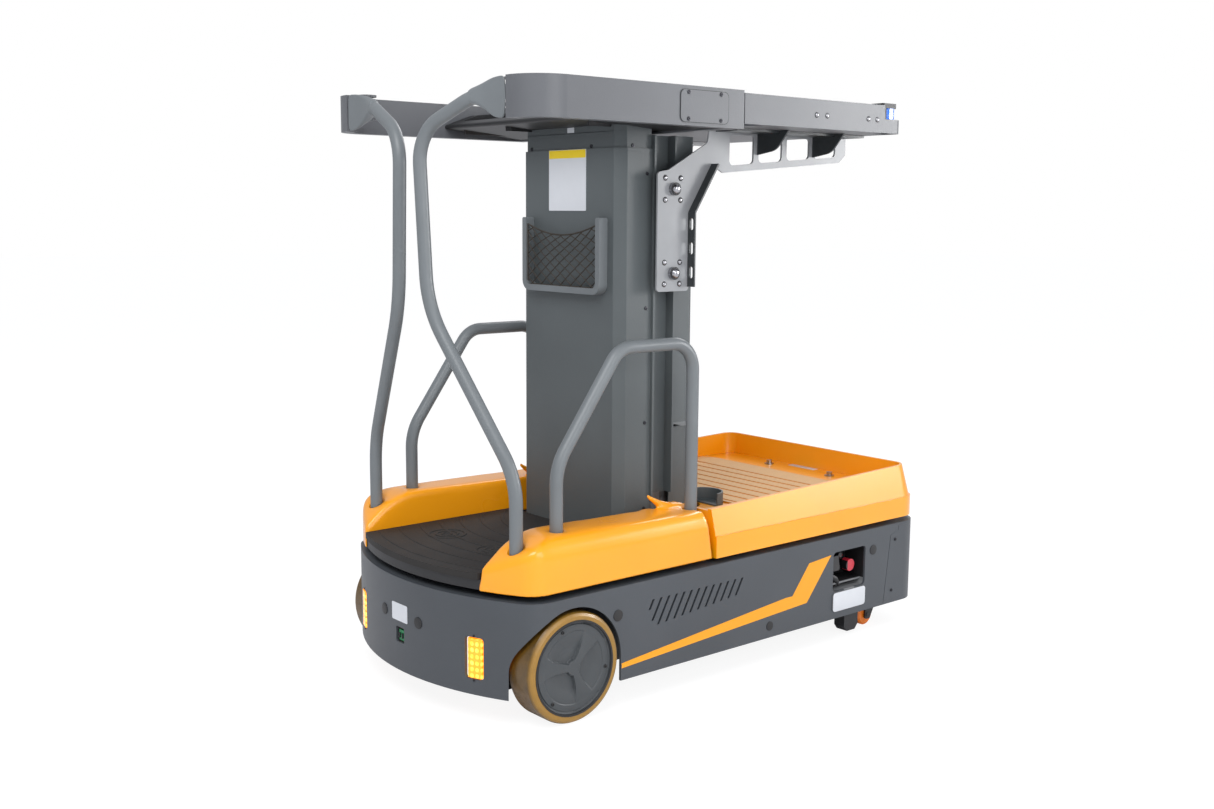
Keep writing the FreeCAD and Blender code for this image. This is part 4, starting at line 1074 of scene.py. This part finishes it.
class TRUCK_OT_stage(bpy.types.Operator):
    """Adds the floor, the lights and the camera."""

    bl_idname = "truck.stage"
    bl_label = "Stage"

    def execute(self, context):
        scene = context.scene
        scene.view_settings.view_transform = "Standard"
        bm = bmesh.new()
        bmesh.ops.create_grid(bm, x_segments=1, y_segments=1, size=30)
        mesh = bpy.data.meshes.new("floor")
        bm.to_mesh(mesh)
        bm.free()
        floor = bpy.data.objects.new("floor", mesh)
        scene.collection.objects.link(floor)
        paint = Paint("floor_white", 0.9)
        paint.feed("Base Color", (0.86, 0.86, 0.87, 1))
        seen = paint.node("ShaderNodeLightPath", {}, {}, "Is Camera Ray") * 0.8
        glow = paint.tree.nodes.new("ShaderNodeEmission")
        glow.inputs["Strength"].default_value = 1.12
        mixed = paint.tree.nodes.new("ShaderNodeMixShader")
        paint.tree.links.new(seen.socket, mixed.inputs[0])
        paint.tree.links.new(paint.shader.outputs[0], mixed.inputs[1])
        paint.tree.links.new(glow.outputs[0], mixed.inputs[2])
        surface = next(n for n in paint.tree.nodes if n.type == "OUTPUT_MATERIAL")
        paint.tree.links.new(mixed.outputs[0], surface.inputs["Surface"])
        mesh.materials.append(paint.material)
        world = bpy.data.worlds.new("studio")
        world.use_nodes = True
        tree = world.node_tree
        background = tree.nodes["Background"]
        rays = tree.nodes.new("ShaderNodeLightPath")
        white = tree.nodes.new("ShaderNodeBackground")
        white.inputs["Color"].default_value = (1, 1, 1, 1)
        white.inputs["Strength"].default_value = 1.0
        background.inputs["Color"].default_value = (0.93, 0.95, 1.0, 1)
        background.inputs["Strength"].default_value = 0.62
        mixer = tree.nodes.new("ShaderNodeMixShader")
        output = tree.nodes["World Output"]
        tree.links.new(rays.outputs["Is Camera Ray"], mixer.inputs[0])
        tree.links.new(background.outputs[0], mixer.inputs[1])
        tree.links.new(white.outputs[0], mixer.inputs[2])
        tree.links.new(mixer.outputs[0], output.inputs["Surface"])
        scene.world = world
        for name, spot, size, power in LIGHTS:
            data = bpy.data.lights.new(name, "AREA")
            data.size = size
            data.energy = power
            lamp = bpy.data.objects.new(name, data)
            lamp.visible_diffuse = name != "gleam"
            scene.collection.objects.link(lamp)
            turn = (Vector((0, 0, 0.7)) - Vector(spot)).to_track_quat("-Z", "Y").to_matrix().to_4x4()
            lamp.matrix_world = Matrix.Translation(spot) @ turn
        yaw, pitch, roll = (math.radians(a) for a in CAMERA_TURNS)
        ahead = Vector((math.sin(yaw) * math.cos(pitch), math.cos(yaw) * math.cos(pitch), -math.sin(pitch)))
        right = Vector((math.cos(yaw), -math.sin(yaw), 0))
        above = right.cross(ahead)
        level = math.cos(roll) * right + math.sin(roll) * above
        upward = -math.sin(roll) * right + math.cos(roll) * above
        data = bpy.data.cameras.new("camera")
        data.sensor_width = 36
        data.lens = CAMERA_LENS
        data.shift_x, data.shift_y = CAMERA_SHIFT
        camera = bpy.data.objects.new("camera", data)
        scene.collection.objects.link(camera)
        columns = Matrix((level, upward, -ahead)).transposed().to_4x4()
        camera.matrix_world = Matrix.Translation(CAMERA_PLACE) @ columns
        scene.camera = camera
        return {"FINISHED"}


class TRUCK_PT_panel(bpy.types.Panel):
    """Lists the truck's steps and settings."""

    bl_idname = "TRUCK_PT_panel"
    bl_label = "Order Picker Truck"
    bl_space_type = "VIEW_3D"
    bl_region_type = "UI"
    bl_category = "Truck"

    def draw(self, context):
        layout = self.layout
        for operator in OPERATORS:
            layout.operator(operator.bl_idname)
        for group in (context.scene.truck_colours, context.scene.truck_sizes):
            for key in group.__annotations__:
                layout.prop(group, key)


OPERATORS = [TRUCK_OT_finishes, TRUCK_OT_skirt, TRUCK_OT_wheels, TRUCK_OT_hubs, TRUCK_OT_covers,
             TRUCK_OT_column, TRUCK_OT_platform, TRUCK_OT_console, TRUCK_OT_gates, TRUCK_OT_dash,
             TRUCK_OT_bay, TRUCK_OT_stage]
CLASSES = [TruckColours, TruckSizes] + OPERATORS + [TRUCK_PT_panel]


def register():
    """Adds the classes and the two groups of settings."""
    for cls in CLASSES:
        bpy.utils.register_class(cls)
    bpy.types.Scene.truck_colours = PointerProperty(type=TruckColours)
    bpy.types.Scene.truck_sizes = PointerProperty(type=TruckSizes)


def unregister():
    """Takes them out again."""
    del bpy.types.Scene.truck_sizes
    del bpy.types.Scene.truck_colours
    for cls in reversed(CLASSES):
        bpy.utils.unregister_class(cls)


def main():
    """Runs every step in order."""
    register()
    bpy.ops.truck.finishes()
    bpy.ops.truck.skirt()
    bpy.ops.truck.wheels()
    bpy.ops.truck.hubs()
    bpy.ops.truck.covers()
    bpy.ops.truck.column()
    bpy.ops.truck.platform()
    bpy.ops.truck.console()
    bpy.ops.truck.gates()
    bpy.ops.truck.dash()
    bpy.ops.truck.bay()
    bpy.ops.truck.stage()


if __name__ == "__main__":
    main()
